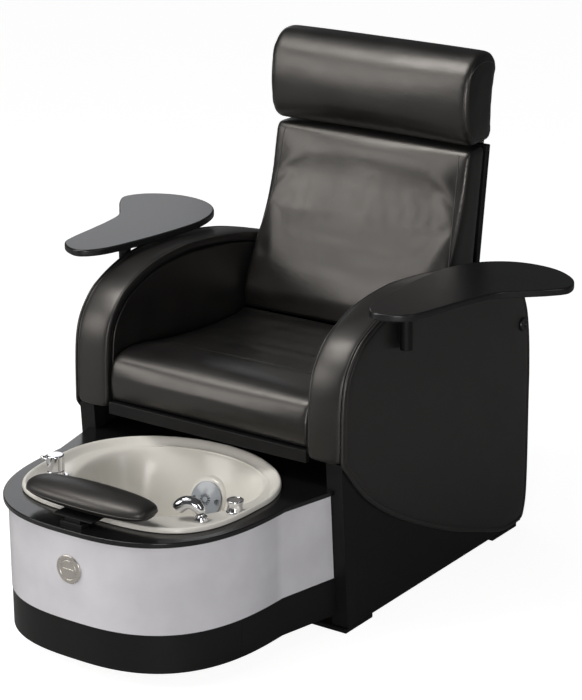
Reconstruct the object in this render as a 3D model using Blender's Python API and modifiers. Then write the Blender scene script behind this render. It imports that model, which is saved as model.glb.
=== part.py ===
"""Pedicure spa chair: a padded chair on a base, with a plumbed foot bath in front of it.

Metres, +Z up. The sitter faces -Y, and X = 0 is the plane of symmetry of the fixed pieces.
The origin is on the floor, under the front of the arms.
"""

import bmesh
import bpy
from math import cos, pi, radians, sin
from mathutils import Matrix, Vector

# ---------------------------------------------------------------- sizes
GAP = 0.0003  # left between neighbouring pieces
RUNNING = 0.0005  # clearance of what turns or slides

# base
BASE_HALF = 0.4195
BOARD = 0.0245
SKID_HEIGHT = 0.012
DECK_Z = 0.463  # top of the base, which carries the seat and the arms
BASE_REAR = 0.897
FRONT_AT_FLOOR = 0.039
FRONT_SLOPE = 0.059  # the base front leans out by this much for each unit of height
POST_WIDTH = 0.0475
POST_DEPTH = 0.045
FLOOR_PLATE = 0.016
RECESS_Y = 0.190
RECESS_BOARD = 0.012
REAR_BOARD = 0.012
REAR_NOTCH = 0.013
REAR_NOTCH_Z = DECK_Z - 0.075
REAR_FACE = BASE_REAR - REAR_NOTCH
SKIDS = {"front_skid": (0.030, 0.153), "rear_skid": (BASE_REAR - 0.149, BASE_REAR - 0.021)}

# power, water and drain fittings on the rear panel
SERVICE_LOW = 0.070
STUB_REACH = 0.020
POWER_X, POWER_WIDTH, POWER_HEIGHT, POWER_DEPTH, POWER_WALL = 0.255, 0.050, 0.046, 0.006, 0.010
WATER_X, WATER_SPACING, WATER_WIDTH, WATER_HEIGHT, WATER_DEPTH = -0.240, 0.060, 0.100, 0.040, 0.005
WATER_RADIUS, WASTE_RADIUS, WASTE_Z = 0.010, 0.019, 0.085

# arms, their profiles given as (y, height above the base)
ARM_WIDTH = 0.0995
ARM_INNER = BASE_HALF - ARM_WIDTH
PAD = 0.030
SHIELD = 0.012
ARM_REAR = BASE_REAR + 0.019
ARM_PROFILE = [
    (0.003, 0), (0.007, 0.137), (0.021, 0.215), (0.056, 0.270), (0.107, 0.310), (0.212, 0.349),
    (0.341, 0.363), (0.440, 0.359), (0.560, 0.345), (ARM_REAR - 0.226, 0.317), (ARM_REAR - 0.078, 0.266),
    (ARM_REAR - 0.027, 0.193), (ARM_REAR - 0.007, 0.107), (ARM_REAR, 0),
]
# the lower edge of the outer cover, from the rear to the front, as (y, part of the base's height)
SHIELD_LOWER = [
    (ARM_REAR, 0.816), (ARM_REAR - 0.001, 0.279), (ARM_REAR - 0.013, 0.097), (ARM_REAR - 0.038, 0.039),
    (ARM_REAR - 0.116, 0.035), (ARM_REAR - 0.176, 0.067), (0.664, 0.125), (0.545, 0.218), (0.429, 0.328),
    (0.316, 0.449), (0.207, 0.585), (0.101, 0.758),
]
CAP_Y, CAP_Z = ARM_REAR - 0.046, DECK_Z + 0.135
CAP_RADIUS, CAP_HOLE = 0.020, 0.008

# foot bath
BATH_BASE_HALF = BASE_HALF - 0.0385
BATH_HALF = BATH_BASE_HALF - 0.033
BATH_SHOULDER = -0.144
BATH_FRONT = -0.541
BATH_ROUND = 2.7
KICK_BOTTOM = 0.045
KICK_TOP = 0.1465
KICK_SEAM = -0.300
KICK_INSET = 0.001
SKIN = 0.006
BATH_END_GAP = 2 * GAP + SKIN * (BATH_BASE_HALF - BATH_HALF) / -BATH_SHOULDER
FASCIA_TOP = DECK_Z - 0.0843
SURROUND = 0.013
SURROUND_TOP = FASCIA_TOP + GAP + SURROUND
OVERHANG = 0.011
RIM_HALF, RIM_CENTRE, RIM_FRONT, RIM_REAR, RIM_ROUND = BATH_HALF - 0.034, -0.168, 0.300, 0.262, 3.4
RIM_RISE = 0.014
BOWL_WALL = 0.006
BOWL_CENTRE = -0.135
BOWL_FLOOR = 0.165
BOWL_RISE = SURROUND_TOP + GAP - 0.008 - BOWL_FLOOR  # from the floor of the bowl to its shoulder
BOWL_STEPS = 40
DECK_TOP = SURROUND_TOP + GAP - BOWL_WALL + 0.0015  # where the fittings stand, inside the rim
STAND_HALF, STAND_FRONT, STAND_REAR, STAND_LOW = 0.260, -0.360, -0.040, 0.030
STAND_FOOT, STAND_FOOT_RADIUS = (0.200, -0.300), 0.020
STAND_TAIL_HALF, STAND_TAIL_REAR = 0.030, 0.012
BADGE_RADIUS, BADGE_Z = 0.037, FASCIA_TOP - 0.0947

# jet in the rear wall of the bowl, square to the wall there
JET_Y, JET_Z, JET_SLOPE = 0.0176, BOWL_FLOOR + 0.5016 * BOWL_RISE, 0.08246 / BOWL_RISE
JET_BOSS, JET_BOSS_RISE = 0.054, 0.010
JET_HOLE = 0.036
JET_COVER = 0.048
JET_SLOTS = 14
JET_BLADES = 5

# bath fittings
TAP = (0.071 - RIM_HALF, -0.298)
TAP_RADIUS, TAP_HEIGHT, TAP_BODY = 0.0225, 0.062, 0.020
LEVER_Z, LEVER_RADIUS, LEVER_SLOT = 0.041, 0.003, 0.011
LEVER_PIVOT = TAP_RADIUS - 0.006
SPRAYER = (RIM_HALF - 0.084, -0.313)
SPRAYER_SHANK = 0.0115
SPRAYER_CUP = 0.010
BENT_SIDES = 16
KNOB = (RIM_HALF - 0.047, -0.225)
KNOB_RADIUS, KNOB_HEIGHT, KNOB_BASE = 0.0215, 0.028, 0.004
DRAIN = (0.0, -0.150)
DRAIN_RADIUS = 0.024
DRAIN_SEAT = 0.150

# footrest
REST_Y = BATH_FRONT + 0.091
REST_LENGTH, REST_WIDTH, REST_THICK = 0.370, 0.122, 0.056
REST_SHELF = SURROUND_TOP + RIM_RISE + 0.0025
SHELF_THICK = 0.0035
GUIDE_Y = BATH_FRONT + 0.024
GUIDE_HALF, GUIDE_DEPTH = 0.034, 0.026
GUIDE_BOTTOM = SURROUND_TOP - 0.102
GUIDE_TOP = SURROUND_TOP + 0.008

# trays
TRAY_X, TRAY_Y = BASE_HALF + SHIELD + 0.0185, 0.255
TRAY_UNDER, TRAY_THICK = DECK_Z + 0.3715, 0.019
TRAY_TURN = {"left": 0.0, "right": 8.0}  # degrees that each tray stands turned in
TRAY_INBOARD = {"left": 0.0, "right": 0.020}
POST_RADIUS = 0.0115
SOCKET_RADIUS = 0.0165
SOCKET_LOW, SOCKET_HIGH = TRAY_UNDER - 0.1295, TRAY_UNDER - 0.0345
TRAY_FLANGE, TRAY_FLANGE_THICK = 0.045, 0.0045
TRAY_OUTLINE = [
    (0.010, -0.175), (-0.026, -0.118), (-0.039, 0.000), (-0.041, 0.125), (-0.031, 0.235),
    (0.010, 0.325), (0.075, 0.376), (0.150, 0.391), (0.225, 0.376), (0.288, 0.330), (0.311, 0.270),
    (0.282, 0.224), (0.232, 0.176), (0.186, 0.129), (0.160, 0.062), (0.140, -0.014), (0.119, -0.100),
    (0.100, -0.145), (0.058, -0.173),
]

# seat
CUSHION_HALF = ARM_INNER - 0.004
SEAT_FRONT, SEAT_REAR = 0.022, 0.600
SEAT_BOARD = 0.019
BOARD_FRONT, BOARD_REAR = 0.006, 0.700
APRON_DROP, APRON_DEPTH = 0.014, 0.014
PIVOT_Y, PIVOT_Z = 0.655, DECK_Z + 0.072
PIN_RADIUS = 0.010
PIN_HALF = CUSHION_HALF - 0.011
EAR, EAR_REACH = 0.012, 0.024
RAIL_TOP = DECK_Z - 0.023
RAIL_INNER, RAIL_THICK = PIN_HALF - 0.033, 0.014
RAIL_FRONT, RAIL_REAR = 0.230, 0.820
RUNNER_INSET, RUNNER_WIDTH = 0.004, 0.024
LUG_FRONT, LUG_DEPTH = 0.325, 0.024
ROD_RADIUS, ROD_Z = 0.012, RAIL_TOP - 0.028
ROD_END, TUBE_RADIUS, TUBE_FRONT, TUBE_REAR = 0.720, 0.020, 0.520, 0.850

# back, its profiles given as (y, height above the base)
BACK_LEAN = 0.14  # y for each unit of height
BACK_REAR_Y = 0.8716
BACK_BOTTOM, BACK_TOP = DECK_Z + 0.128, DECK_Z + 0.620
SHELL, SHELL_DROP = 0.020, 0.083
PILLOW_HALF = CUSHION_HALF + 0.006
PILLOW_GAP = 0.009
FLAP = 0.006
FLAP_LOW, FLAP_HIGH = BACK_TOP - 0.063, BACK_TOP + 0.157
BACK_FACE = [
    (0.602, 0.128), (0.600, 0.162), (0.603, 0.197), (0.628, 0.257), (0.668, 0.327), (0.708, 0.407),
    (0.736, 0.487), (0.755, 0.567), (0.766, 0.608), (0.780, 0.620),
]
PILLOW_FACE = [
    (0.778, 0.629), (0.754, 0.652), (0.742, 0.717), (0.744, 0.779), (0.757, 0.834), (0.790, 0.872),
    (0.834, 0.882), (0.874, 0.873),
]

COLOURS = {
    "black_leather": ((0.018, 0.017, 0.017), 0.38, 0.0),
    "black_panel": ((0.020, 0.020, 0.021), 0.45, 0.0),
    "black_laminate": ((0.022, 0.022, 0.024), 0.35, 0.0),
    "black_gloss": ((0.008, 0.008, 0.009), 0.10, 0.0),
    "white_gloss": ((0.86, 0.86, 0.89), 0.12, 0.0),
    "acrylic": ((0.78, 0.76, 0.71), 0.12, 0.0),
    "chrome": ((0.80, 0.80, 0.82), 0.08, 1.0),
    "nickel": ((0.62, 0.60, 0.56), 0.30, 1.0),
    "steel": ((0.30, 0.31, 0.32), 0.40, 1.0),
    "grey_plastic": ((0.42, 0.44, 0.47), 0.35, 0.0),
    "board": ((0.30, 0.22, 0.14), 0.70, 0.0),
}

PARTS = None
CUTTERS = None


# ---------------------------------------------------------------- scene helpers
def clear_scene():
    for obj in list(bpy.data.objects):
        bpy.data.objects.remove(obj, do_unlink=True)


def new_collection(name):
    made = bpy.data.collections.new(name)
    bpy.context.scene.collection.children.link(made)
    return made


def material(name):
    """The named finish, made once."""
    found = bpy.data.materials.get(name)
    if found:
        return found
    colour, roughness, metallic = COLOURS[name]
    made = bpy.data.materials.new(name)
    made.use_nodes = True
    shader = made.node_tree.nodes["Principled BSDF"]
    shader.inputs["Base Color"].default_value = (*colour, 1)
    shader.inputs["Roughness"].default_value = roughness
    shader.inputs["Metallic"].default_value = metallic
    return made


def place(name, mesh, finish, smooth=False):
    """An object of this mesh in the collection of parts, or of cutters when it has no finish."""
    obj = bpy.data.objects.new(name, mesh)
    if finish:
        PARTS.objects.link(obj)
        mesh.materials.clear()
        mesh.materials.append(material(finish))
    else:
        CUTTERS.objects.link(obj)
        obj.hide_render = True
        obj.display_type = "WIRE"
    if smooth:
        mesh.shade_smooth()
        mesh.set_sharp_from_angle(angle=radians(35))
    return obj


def mesh_of(name, work):
    mesh = bpy.data.meshes.new(name)
    bmesh.ops.recalc_face_normals(work, faces=work.faces)
    work.to_mesh(mesh)
    work.free()
    return mesh


def bevelled(obj, width, segments=2, angle=40):
    bevel = obj.modifiers.new("Bevel", "BEVEL")
    bevel.width = width
    bevel.segments = segments
    bevel.limit_method = "ANGLE"
    bevel.angle_limit = radians(angle)
    return obj


def boolean(obj, other, operation="DIFFERENCE"):
    step = obj.modifiers.new(operation.title(), "BOOLEAN")
    step.operation = operation
    step.object = other
    return obj


def hang(obj, point):
    """Moves the object's origin to a point on the axis that it turns about."""
    bpy.context.view_layer.update()
    obj.data.transform(Matrix.Translation(-point) @ obj.matrix_world)
    obj.matrix_world = Matrix.Translation(point)
    return obj


def box(name, low, high, finish, bevel=0.0):
    work = bmesh.new()
    bmesh.ops.create_cube(work, size=1)
    size = [b - a for a, b in zip(low, high)]
    middle = [(a + b) / 2 for a, b in zip(low, high)]
    bmesh.ops.scale(work, vec=size, verts=work.verts)
    bmesh.ops.translate(work, vec=middle, verts=work.verts)
    obj = place(name, mesh_of(name, work), finish)
    return bevelled(obj, bevel) if bevel else obj


def rod(name, start, end, radius, finish, sides=16):
    """A cylinder between two points."""
    start, end = Vector(start), Vector(end)
    work = bmesh.new()
    bmesh.ops.create_cone(
        work, cap_ends=True, segments=sides, radius1=radius, radius2=radius, depth=(end - start).length
    )
    turn = (end - start).to_track_quat("Z", "Y").to_matrix().to_4x4()
    bmesh.ops.transform(work, matrix=Matrix.Translation((start + end) / 2) @ turn, verts=work.verts)
    return place(name, mesh_of(name, work), finish, smooth=True)


def turned(name, profile, finish, at=(0, 0, 0), axis=(0, 0, 1), steps=24):
    """A profile of (radius, height) spun round an axis. It runs down its outer side."""
    mesh = bpy.data.meshes.new(name)
    points = [(radius, 0, height) for radius, height in profile]
    mesh.from_pydata(points, [(i, i + 1) for i in range(len(points) - 1)], [])
    obj = place(name, mesh, finish)
    obj.matrix_world = Matrix.Translation(at) @ Vector(axis).to_track_quat("Z", "Y").to_matrix().to_4x4()
    screw = obj.modifiers.new("Screw", "SCREW")
    screw.steps = steps
    screw.render_steps = steps
    screw.use_merge_vertices = True
    screw.merge_threshold = 0.00001
    screw.use_smooth_shade = True
    return obj


def plate(name, outlines, axis, low, high, finish, bevel=0.0):
    """Flat outlines, the first one outside and the rest holes, between two planes across an axis."""
    curve = bpy.data.curves.new(name, "CURVE")
    curve.dimensions = "2D"
    curve.fill_mode = "BOTH"
    curve.extrude = (high - low) / 2
    for outline in outlines:
        spline = curve.splines.new("POLY")
        spline.points.add(len(outline) - 1)
        for point, (u, v) in zip(spline.points, outline):
            point.co = (u, v, 0, 1)
        spline.use_cyclic_u = True
    guide = bpy.data.objects.new(name, curve)
    CUTTERS.objects.link(guide)
    middle = (low + high) / 2
    if axis == "X":
        guide.matrix_world = Matrix(((0, 0, 1, middle), (1, 0, 0, 0), (0, 1, 0, 0), (0, 0, 0, 1)))
    else:
        guide.matrix_world = Matrix.Translation((0, 0, middle))
    bpy.context.view_layer.update()
    graph = bpy.context.evaluated_depsgraph_get()
    flat = bpy.data.meshes.new_from_object(guide.evaluated_get(graph))
    flat.transform(guide.matrix_world)
    bpy.data.objects.remove(guide, do_unlink=True)
    work = bmesh.new()
    work.from_mesh(flat)
    bpy.data.meshes.remove(flat)
    bmesh.ops.remove_doubles(work, verts=work.verts, dist=0.00001)
    bmesh.ops.dissolve_limit(work, angle_limit=radians(0.5), verts=work.verts, edges=work.edges)
    bmesh.ops.triangulate(work, faces=[face for face in work.faces if len(face.verts) > 4])
    obj = place(name, mesh_of(name, work), finish)
    return bevelled(obj, bevel, 1) if bevel else obj


# ---------------------------------------------------------------- outlines
def smooth(points, per=3, closed=False):
    """Points on a Catmull-Rom curve through these points."""
    count = len(points)
    found = []
    for i in range(count if closed else count - 1):
        ids = [(i + k) % count if closed else min(max(i + k, 0), count - 1) for k in (-1, 0, 1, 2)]
        a, b, c, d = (Vector(points[k]) for k in ids)
        for step in range(per):
            t = step / per
            spot = b + 0.5 * t * ((c - a) + t * ((2 * a - 5 * b + 4 * c - d) + t * (3 * b - a - 3 * c + d)))
            found.append(tuple(spot))
    return found if closed else found + [tuple(points[-1])]


def inset(points, distance):
    """An open outline moved to the right of its direction."""
    moved = []
    for i, point in enumerate(points):
        before = Vector(points[max(i - 1, 0)])
        after = Vector(points[min(i + 1, len(points) - 1)])
        along = (after - before).normalized()
        moved.append((point[0] + along.y * distance, point[1] - along.x * distance))
    return moved


def base_front(z):
    return FRONT_AT_FLOOR - FRONT_SLOPE * z


def bath_outline(out, start_y, count=22):
    """The plan of the bath, widened by out, from the right end round the front to the left end."""
    right = [(BATH_BASE_HALF + out - (BATH_BASE_HALF - BATH_HALF) * start_y / BATH_SHOULDER, start_y)]
    power = 2 / BATH_ROUND
    for i in range(count + 1):
        turn = pi / 2 * i / count
        x = (BATH_HALF + out) * cos(turn) ** power if i < count else 0.0
        y = BATH_SHOULDER - (BATH_SHOULDER - BATH_FRONT + out) * sin(turn) ** power
        right.append((x, y))
    return right + [(-x, y) for x, y in reversed(right[:-1])]


def rim_ring(out, z):
    """A ring of the bowl's squarish rim, moved out or in."""
    ring = []
    for i in range(BOWL_STEPS):
        turn = 2 * pi * i / BOWL_STEPS
        c, s = cos(turn), sin(turn)
        power = 2 / RIM_ROUND if s < 0 else 1
        depth = RIM_FRONT if s < 0 else RIM_REAR
        x = (RIM_HALF + out) * (abs(c) ** power) * (1 if c > 0 else -1)
        y = RIM_CENTRE + (depth + out) * (abs(s) ** power) * (1 if s > 0 else -1)
        ring.append((x, y, z))
    return ring


def bowl_ring(half, front, rear, z):
    """A ring of the bowl's round inside."""
    ring = []
    for i in range(BOWL_STEPS):
        turn = 2 * pi * i / BOWL_STEPS
        depth = front if sin(turn) < 0 else rear
        ring.append((half * cos(turn), BOWL_CENTRE + depth * sin(turn), z))
    return ring


def loft(name, rings, finish):
    """A closed skin over rings of equal length, capped at both ends."""
    work = bmesh.new()
    rows = [[work.verts.new(point) for point in ring] for ring in rings]
    for one, two in zip(rows, rows[1:]):
        for i in range(len(one)):
            j = (i + 1) % len(one)
            work.faces.new((one[i], one[j], two[j], two[i]))
    work.faces.new(rows[0])
    work.faces.new(reversed(rows[-1]))
    return place(name, mesh_of(name, work), finish, smooth=True)


def bent(name, stations):
    """A round body along stations of (centre, radius)."""
    rings = []
    for i, (centre, radius) in enumerate(stations):
        before, after = stations[max(i - 1, 0)][0], stations[min(i + 1, len(stations) - 1)][0]
        turn = (Vector(after) - Vector(before)).to_track_quat("Z", "Y")
        angles = [2 * pi * k / BENT_SIDES for k in range(BENT_SIDES)]
        rings.append([Vector(centre) + turn @ Vector((radius * cos(a), radius * sin(a), 0)) for a in angles])
    return loft(name, rings, "chrome")


def back_rear(z):
    """y of the rear of the back shell at this height."""
    return BACK_REAR_Y + BACK_LEAN * (z - BACK_TOP)


# ---------------------------------------------------------------- base
def make_base():
    for name, (front, rear) in SKIDS.items():
        box(name, (-BASE_HALF, front, 0), (BASE_HALF, rear, SKID_HEIGHT - GAP), "black_panel", 0.002)
    low, high = SKID_HEIGHT, DECK_Z - GAP
    behind = POST_DEPTH + GAP
    panel = [
        (base_front(low) + behind, low), (BASE_REAR, low), (BASE_REAR, REAR_NOTCH_Z),
        (REAR_FACE, REAR_NOTCH_Z), (REAR_FACE, high),
        (base_front(high) + behind, high),
    ]
    post = [
        (base_front(low), low), (base_front(low) + POST_DEPTH, low),
        (base_front(high) + POST_DEPTH, high), (base_front(high), high),
    ]
    for side, sign in (("left", 1), ("right", -1)):
        edges = sorted((sign * BASE_HALF, sign * (BASE_HALF - BOARD)))
        plate(f"side_panel_{side}", [panel], "X", *edges, "black_panel")
        edges = sorted((sign * BASE_HALF, sign * (BASE_HALF - POST_WIDTH)))
        plate(f"front_post_{side}", [post], "X", *edges, "black_panel")
    inside = BASE_HALF - BOARD - GAP
    floor = (low, low + FLOOR_PLATE)
    rear = REAR_FACE
    front = base_front(low) + POST_DEPTH + GAP
    box("floor_plate", (-inside, front, floor[0]), (inside, rear - REAR_BOARD - GAP, floor[1]), "board")
    box(
        "recess_panel", (-inside, RECESS_Y, floor[1] + GAP),
        (inside, RECESS_Y + RECESS_BOARD, ROD_Z - 0.002), "black_panel",
    )
    box("rear_panel", (-inside, rear - REAR_BOARD, floor[0]), (inside, rear, high), "black_panel", 0.001)


def make_services():
    """Power, water and drain fittings on the rear panel."""
    face = REAR_FACE + GAP
    half, top = POWER_WIDTH / 2, SERVICE_LOW + POWER_HEIGHT
    inlet = box(
        "power_inlet", (POWER_X - half, face, SERVICE_LOW), (POWER_X + half, face + POWER_DEPTH, top),
        "grey_plastic", 0.001,
    )
    pocket = box(
        "power_inlet_pocket", (POWER_X - half + POWER_WALL, face + 0.002, SERVICE_LOW + POWER_WALL),
        (POWER_X + half - POWER_WALL, face + STUB_REACH, top - POWER_WALL), None,
    )
    boolean(inlet, pocket)
    half, top = WATER_WIDTH / 2, SERVICE_LOW + WATER_HEIGHT
    manifold = box(
        "water_inlets", (WATER_X - half, face, SERVICE_LOW), (WATER_X + half, face + WATER_DEPTH, top),
        "steel", 0.001,
    )
    z = SERVICE_LOW + WATER_HEIGHT / 2
    for x in (WATER_X - WATER_SPACING / 2, WATER_X + WATER_SPACING / 2):
        stub = rod(f"inlet_stub{x}", (x, face + 0.002, z), (x, face + STUB_REACH, z), WATER_RADIUS, None)
        boolean(manifold, stub, "UNION")
    rod("drain_outlet", (0, face, WASTE_Z), (0, face + STUB_REACH, WASTE_Z), WASTE_RADIUS, "grey_plastic", 20)


# ---------------------------------------------------------------- arms
def make_arms():
    outline = [(y, DECK_Z + rise) for y, rise in ARM_PROFILE]
    profile = smooth(outline, 2)
    lining = inset(profile, PAD)
    lining = [(y, max(z, DECK_Z)) for y, z in lining]
    inner = inset(profile, PAD + GAP)
    core = [(y, max(z, DECK_Z + GAP)) for y, z in inner]
    band = profile + list(reversed(lining))
    lower = [(y, DECK_Z * part) for y, part in SHIELD_LOWER]
    shield = smooth([*outline, *lower, outline[0]], 2)[:-1]
    for side, sign in (("left", 1), ("right", -1)):
        edges = sorted((sign * ARM_INNER, sign * BASE_HALF))
        plate(f"arm_pad_{side}", [band], "X", *edges, "black_leather")
        plate(f"arm_box_{side}", [core], "X", *edges, "black_leather")
        face = BASE_HALF + GAP
        edges = sorted((sign * face, sign * (face + SHIELD)))
        plate(f"side_shield_{side}", [shield], "X", *edges, "black_leather", 0.003)
        start = (sign * (face + SHIELD + GAP), CAP_Y, CAP_Z)
        turned(
            f"bolt_cap_{side}",
            [
                (0, 0.0008), (CAP_HOLE, 0.0008), (CAP_HOLE, 0.003), (CAP_RADIUS - 0.002, 0.003),
                (CAP_RADIUS, 0.0015), (CAP_RADIUS, 0), (0, 0),
            ],
            "black_laminate", start, (sign, 0, 0),
        )


# ---------------------------------------------------------------- foot bath
def strip(name, outline, low, high, finish):
    """A skin that follows an open outline, its ends cut to the lean of the base front."""
    if outline[0][0] > 0:
        outline = outline[::-1]  # run from the right side, so that the faces point outwards
    work = bmesh.new()
    bottom = [work.verts.new((x, y, low)) for x, y in outline]
    top = [work.verts.new((x, y, high)) for x, y in outline]
    for i in range(len(outline) - 1):
        work.faces.new((bottom[i], bottom[i + 1], top[i + 1], top[i]))
    for vert in work.verts:
        if vert.co.y > 0:
            vert.co.y = base_front(vert.co.z) - BATH_END_GAP
    work.normal_update()
    mesh = bpy.data.meshes.new(name)
    work.to_mesh(mesh)
    work.free()
    obj = place(name, mesh, finish, smooth=True)
    skin = obj.modifiers.new("Solidify", "SOLIDIFY")
    skin.thickness = SKIN
    skin.offset = -1
    return obj


def make_bath_skins():
    high = FASCIA_TOP
    strip("fascia", bath_outline(0, base_front(high) - BATH_END_GAP), KICK_TOP + GAP, high, "white_gloss")
    kick = bath_outline(-KICK_INSET, base_front(KICK_TOP) - BATH_END_GAP)
    front = [(x, y) for x, y in kick if y < KICK_SEAM]
    along = (KICK_SEAM - BATH_SHOULDER) / (BATH_FRONT - BATH_SHOULDER)
    x_seam = BATH_HALF * (1 - along**BATH_ROUND) ** (1 / BATH_ROUND) - KICK_INSET
    front = [(x_seam, KICK_SEAM - GAP), *front, (-x_seam, KICK_SEAM - GAP)]
    strip("kick_front", front, KICK_BOTTOM, KICK_TOP, "black_panel")
    side = [(x, y) for x, y in kick[: len(kick) // 2] if y > KICK_SEAM] + [(x_seam, KICK_SEAM + GAP)]
    strip("kick_left", side, KICK_BOTTOM, KICK_TOP, "black_panel")
    strip("kick_right", [(-x, y) for x, y in side], KICK_BOTTOM, KICK_TOP, "black_panel")
    low = FASCIA_TOP + GAP
    inner = BASE_HALF - POST_WIDTH - GAP
    edge = base_front(low + SURROUND) - 2 * GAP
    outer = bath_outline(OVERHANG, edge)
    tail = [(-inner, edge), (-inner, RECESS_Y - GAP), (inner, RECESS_Y - GAP), (inner, edge)]
    hole = [(x, y) for x, y, _ in rim_ring(-0.0115, 0)]
    surround = plate("surround", [outer + tail, hole], "Z", low, low + SURROUND, "black_gloss")
    slot = box(
        "guide_slot", (-GUIDE_HALF - GAP, GUIDE_Y - GUIDE_DEPTH / 2 - GAP, low - 0.01),
        (GUIDE_HALF + GAP, GUIDE_Y + GUIDE_DEPTH / 2 + GAP, low + 0.03), None,
    )
    boolean(surround, slot)
    turned(
        "badge",
        [(0, 0.003), (BADGE_RADIUS - 0.001, 0.003), (BADGE_RADIUS, 0.002), (BADGE_RADIUS, 0), (0, 0)],
        "nickel", (0, BATH_FRONT - 0.0012, BADGE_Z), (0, -1, 0), 28,
    )
    stand_top = KICK_BOTTOM - 0.003
    stand = box(
        "bath_stand", (-STAND_HALF, STAND_FRONT, STAND_LOW), (STAND_HALF, STAND_REAR, stand_top), "steel"
    )
    tail = box(
        "stand_tail", (-STAND_TAIL_HALF, STAND_REAR - 0.020, 0),
        (STAND_TAIL_HALF, STAND_TAIL_REAR, stand_top - 0.001), None,
    )
    boolean(stand, tail, "UNION")
    for sign in (1, -1):
        spot = (sign * STAND_FOOT[0], STAND_FOOT[1])
        foot = rod(
            f"stand_foot{sign}", (*spot, 0), (*spot, STAND_LOW + 0.005), STAND_FOOT_RADIUS, None
        )
        boolean(stand, foot, "UNION")


def jet_axis():
    return Vector((0, -1, JET_SLOPE)).normalized()


def jet_point(distance):
    return Vector((0, JET_Y, JET_Z)) + jet_axis() * distance


def jet_bar(name, size, middle, part_turn):
    """A small bar square to the jet axis, turned about it."""
    work = bmesh.new()
    bmesh.ops.create_cube(work, size=1)
    bmesh.ops.scale(work, vec=size, verts=work.verts)
    bmesh.ops.translate(work, vec=middle, verts=work.verts)
    upright = jet_axis().to_track_quat("Z", "Y").to_matrix().to_4x4()
    spin = Matrix.Rotation(2 * pi * part_turn, 4, "Z")
    bmesh.ops.transform(work, matrix=Matrix.Translation(jet_point(0)) @ upright @ spin, verts=work.verts)
    return place(name, mesh_of(name, work), None)


def make_bowl():
    top = SURROUND_TOP + GAP
    wide = RIM_HALF - 0.064
    # each as (half width taken off, front, rear, part of the rise), from the floor up
    inside = [
        (0.150, 0.090, 0.070, 0), (0.100, 0.135, 0.105, 0.018), (0.055, 0.175, 0.130, 0.228),
        (0.028, 0.208, 0.162, 0.616), (0.012, 0.226, 0.186, 0.899), (0, 0.236, 0.200, 1),
    ]
    rings = []
    for less, front, rear, part in inside:
        rings.append(bowl_ring(wide - less, front, rear, BOWL_FLOOR + part * BOWL_RISE))
    rings += [
        rim_ring(-0.016, top - BOWL_WALL),
        rim_ring(-0.011, top + RIM_RISE - 0.002),
        rim_ring(-0.005, top + RIM_RISE),
        rim_ring(0, top + RIM_RISE - 0.004),
        rim_ring(0, top),
        rim_ring(-0.014, top),
        rim_ring(-0.016, top - 0.022),
    ]
    for less, front, rear, part in reversed(inside[1:-1]):
        out = BOWL_WALL + 0.003
        under = BOWL_FLOOR - 0.005 + part * BOWL_RISE
        rings.append(bowl_ring(wide - less + out, front + out, rear + out, under))
    rings.append(bowl_ring(wide - 0.150, 0.090, 0.070, BOWL_FLOOR - 0.009))
    bowl = loft("bowl", rings, "acrylic")
    boss = rod("jet_boss", jet_point(-0.004), jet_point(JET_BOSS_RISE), JET_BOSS, None, 32)
    boolean(bowl, boss, "UNION")
    boolean(bowl, rod("jet_hole", jet_point(-0.030), jet_point(0.030), JET_HOLE, None, 24))
    drain_low, drain_high = (*DRAIN, BOWL_FLOOR - 0.025), (*DRAIN, BOWL_FLOOR + 0.025)
    boolean(bowl, rod("drain_hole", drain_low, drain_high, DRAIN_RADIUS, None, 24))


def make_jet():
    front = JET_BOSS_RISE + GAP
    turned(
        "jet_motor",
        [
            (0, -0.012), (0.030, -0.012), (0.030, front + 0.0025), (JET_COVER - 0.001, front + 0.0025),
            (JET_COVER - 0.001, front), (JET_HOLE - 0.001, front), (JET_HOLE - 0.001, -0.024),
            (0.044, -0.024), (0.044, -0.080), (0, -0.080),
        ],
        "grey_plastic", jet_point(0), jet_axis(), 24,
    )
    low = front + 0.0025 + GAP
    cover = turned(
        "jet_cover",
        [(0, low + 0.005), (0.030, low + 0.005), (JET_COVER, low + 0.002), (JET_COVER, low), (0, low)],
        "grey_plastic", jet_point(0), jet_axis(), 32,
    )
    for i in range(JET_SLOTS):
        boolean(cover, jet_bar(f"jet_slot{i}", (0.006, 0.0018, 0.02), (0.0125, 0, low), i / JET_SLOTS))
    blade_low, blade_high = -0.009, 0.004
    impeller = rod("jet_impeller", jet_point(-0.010), jet_point(0.006), 0.008, "grey_plastic", 16)
    hang(impeller, jet_point(0))
    size, middle = (0.021, 0.002, blade_high - blade_low), (0.0155, 0, (blade_low + blade_high) / 2)
    for i in range(JET_BLADES):
        boolean(impeller, jet_bar(f"jet_blade{i}", size, middle, i / JET_BLADES), "UNION")


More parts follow.
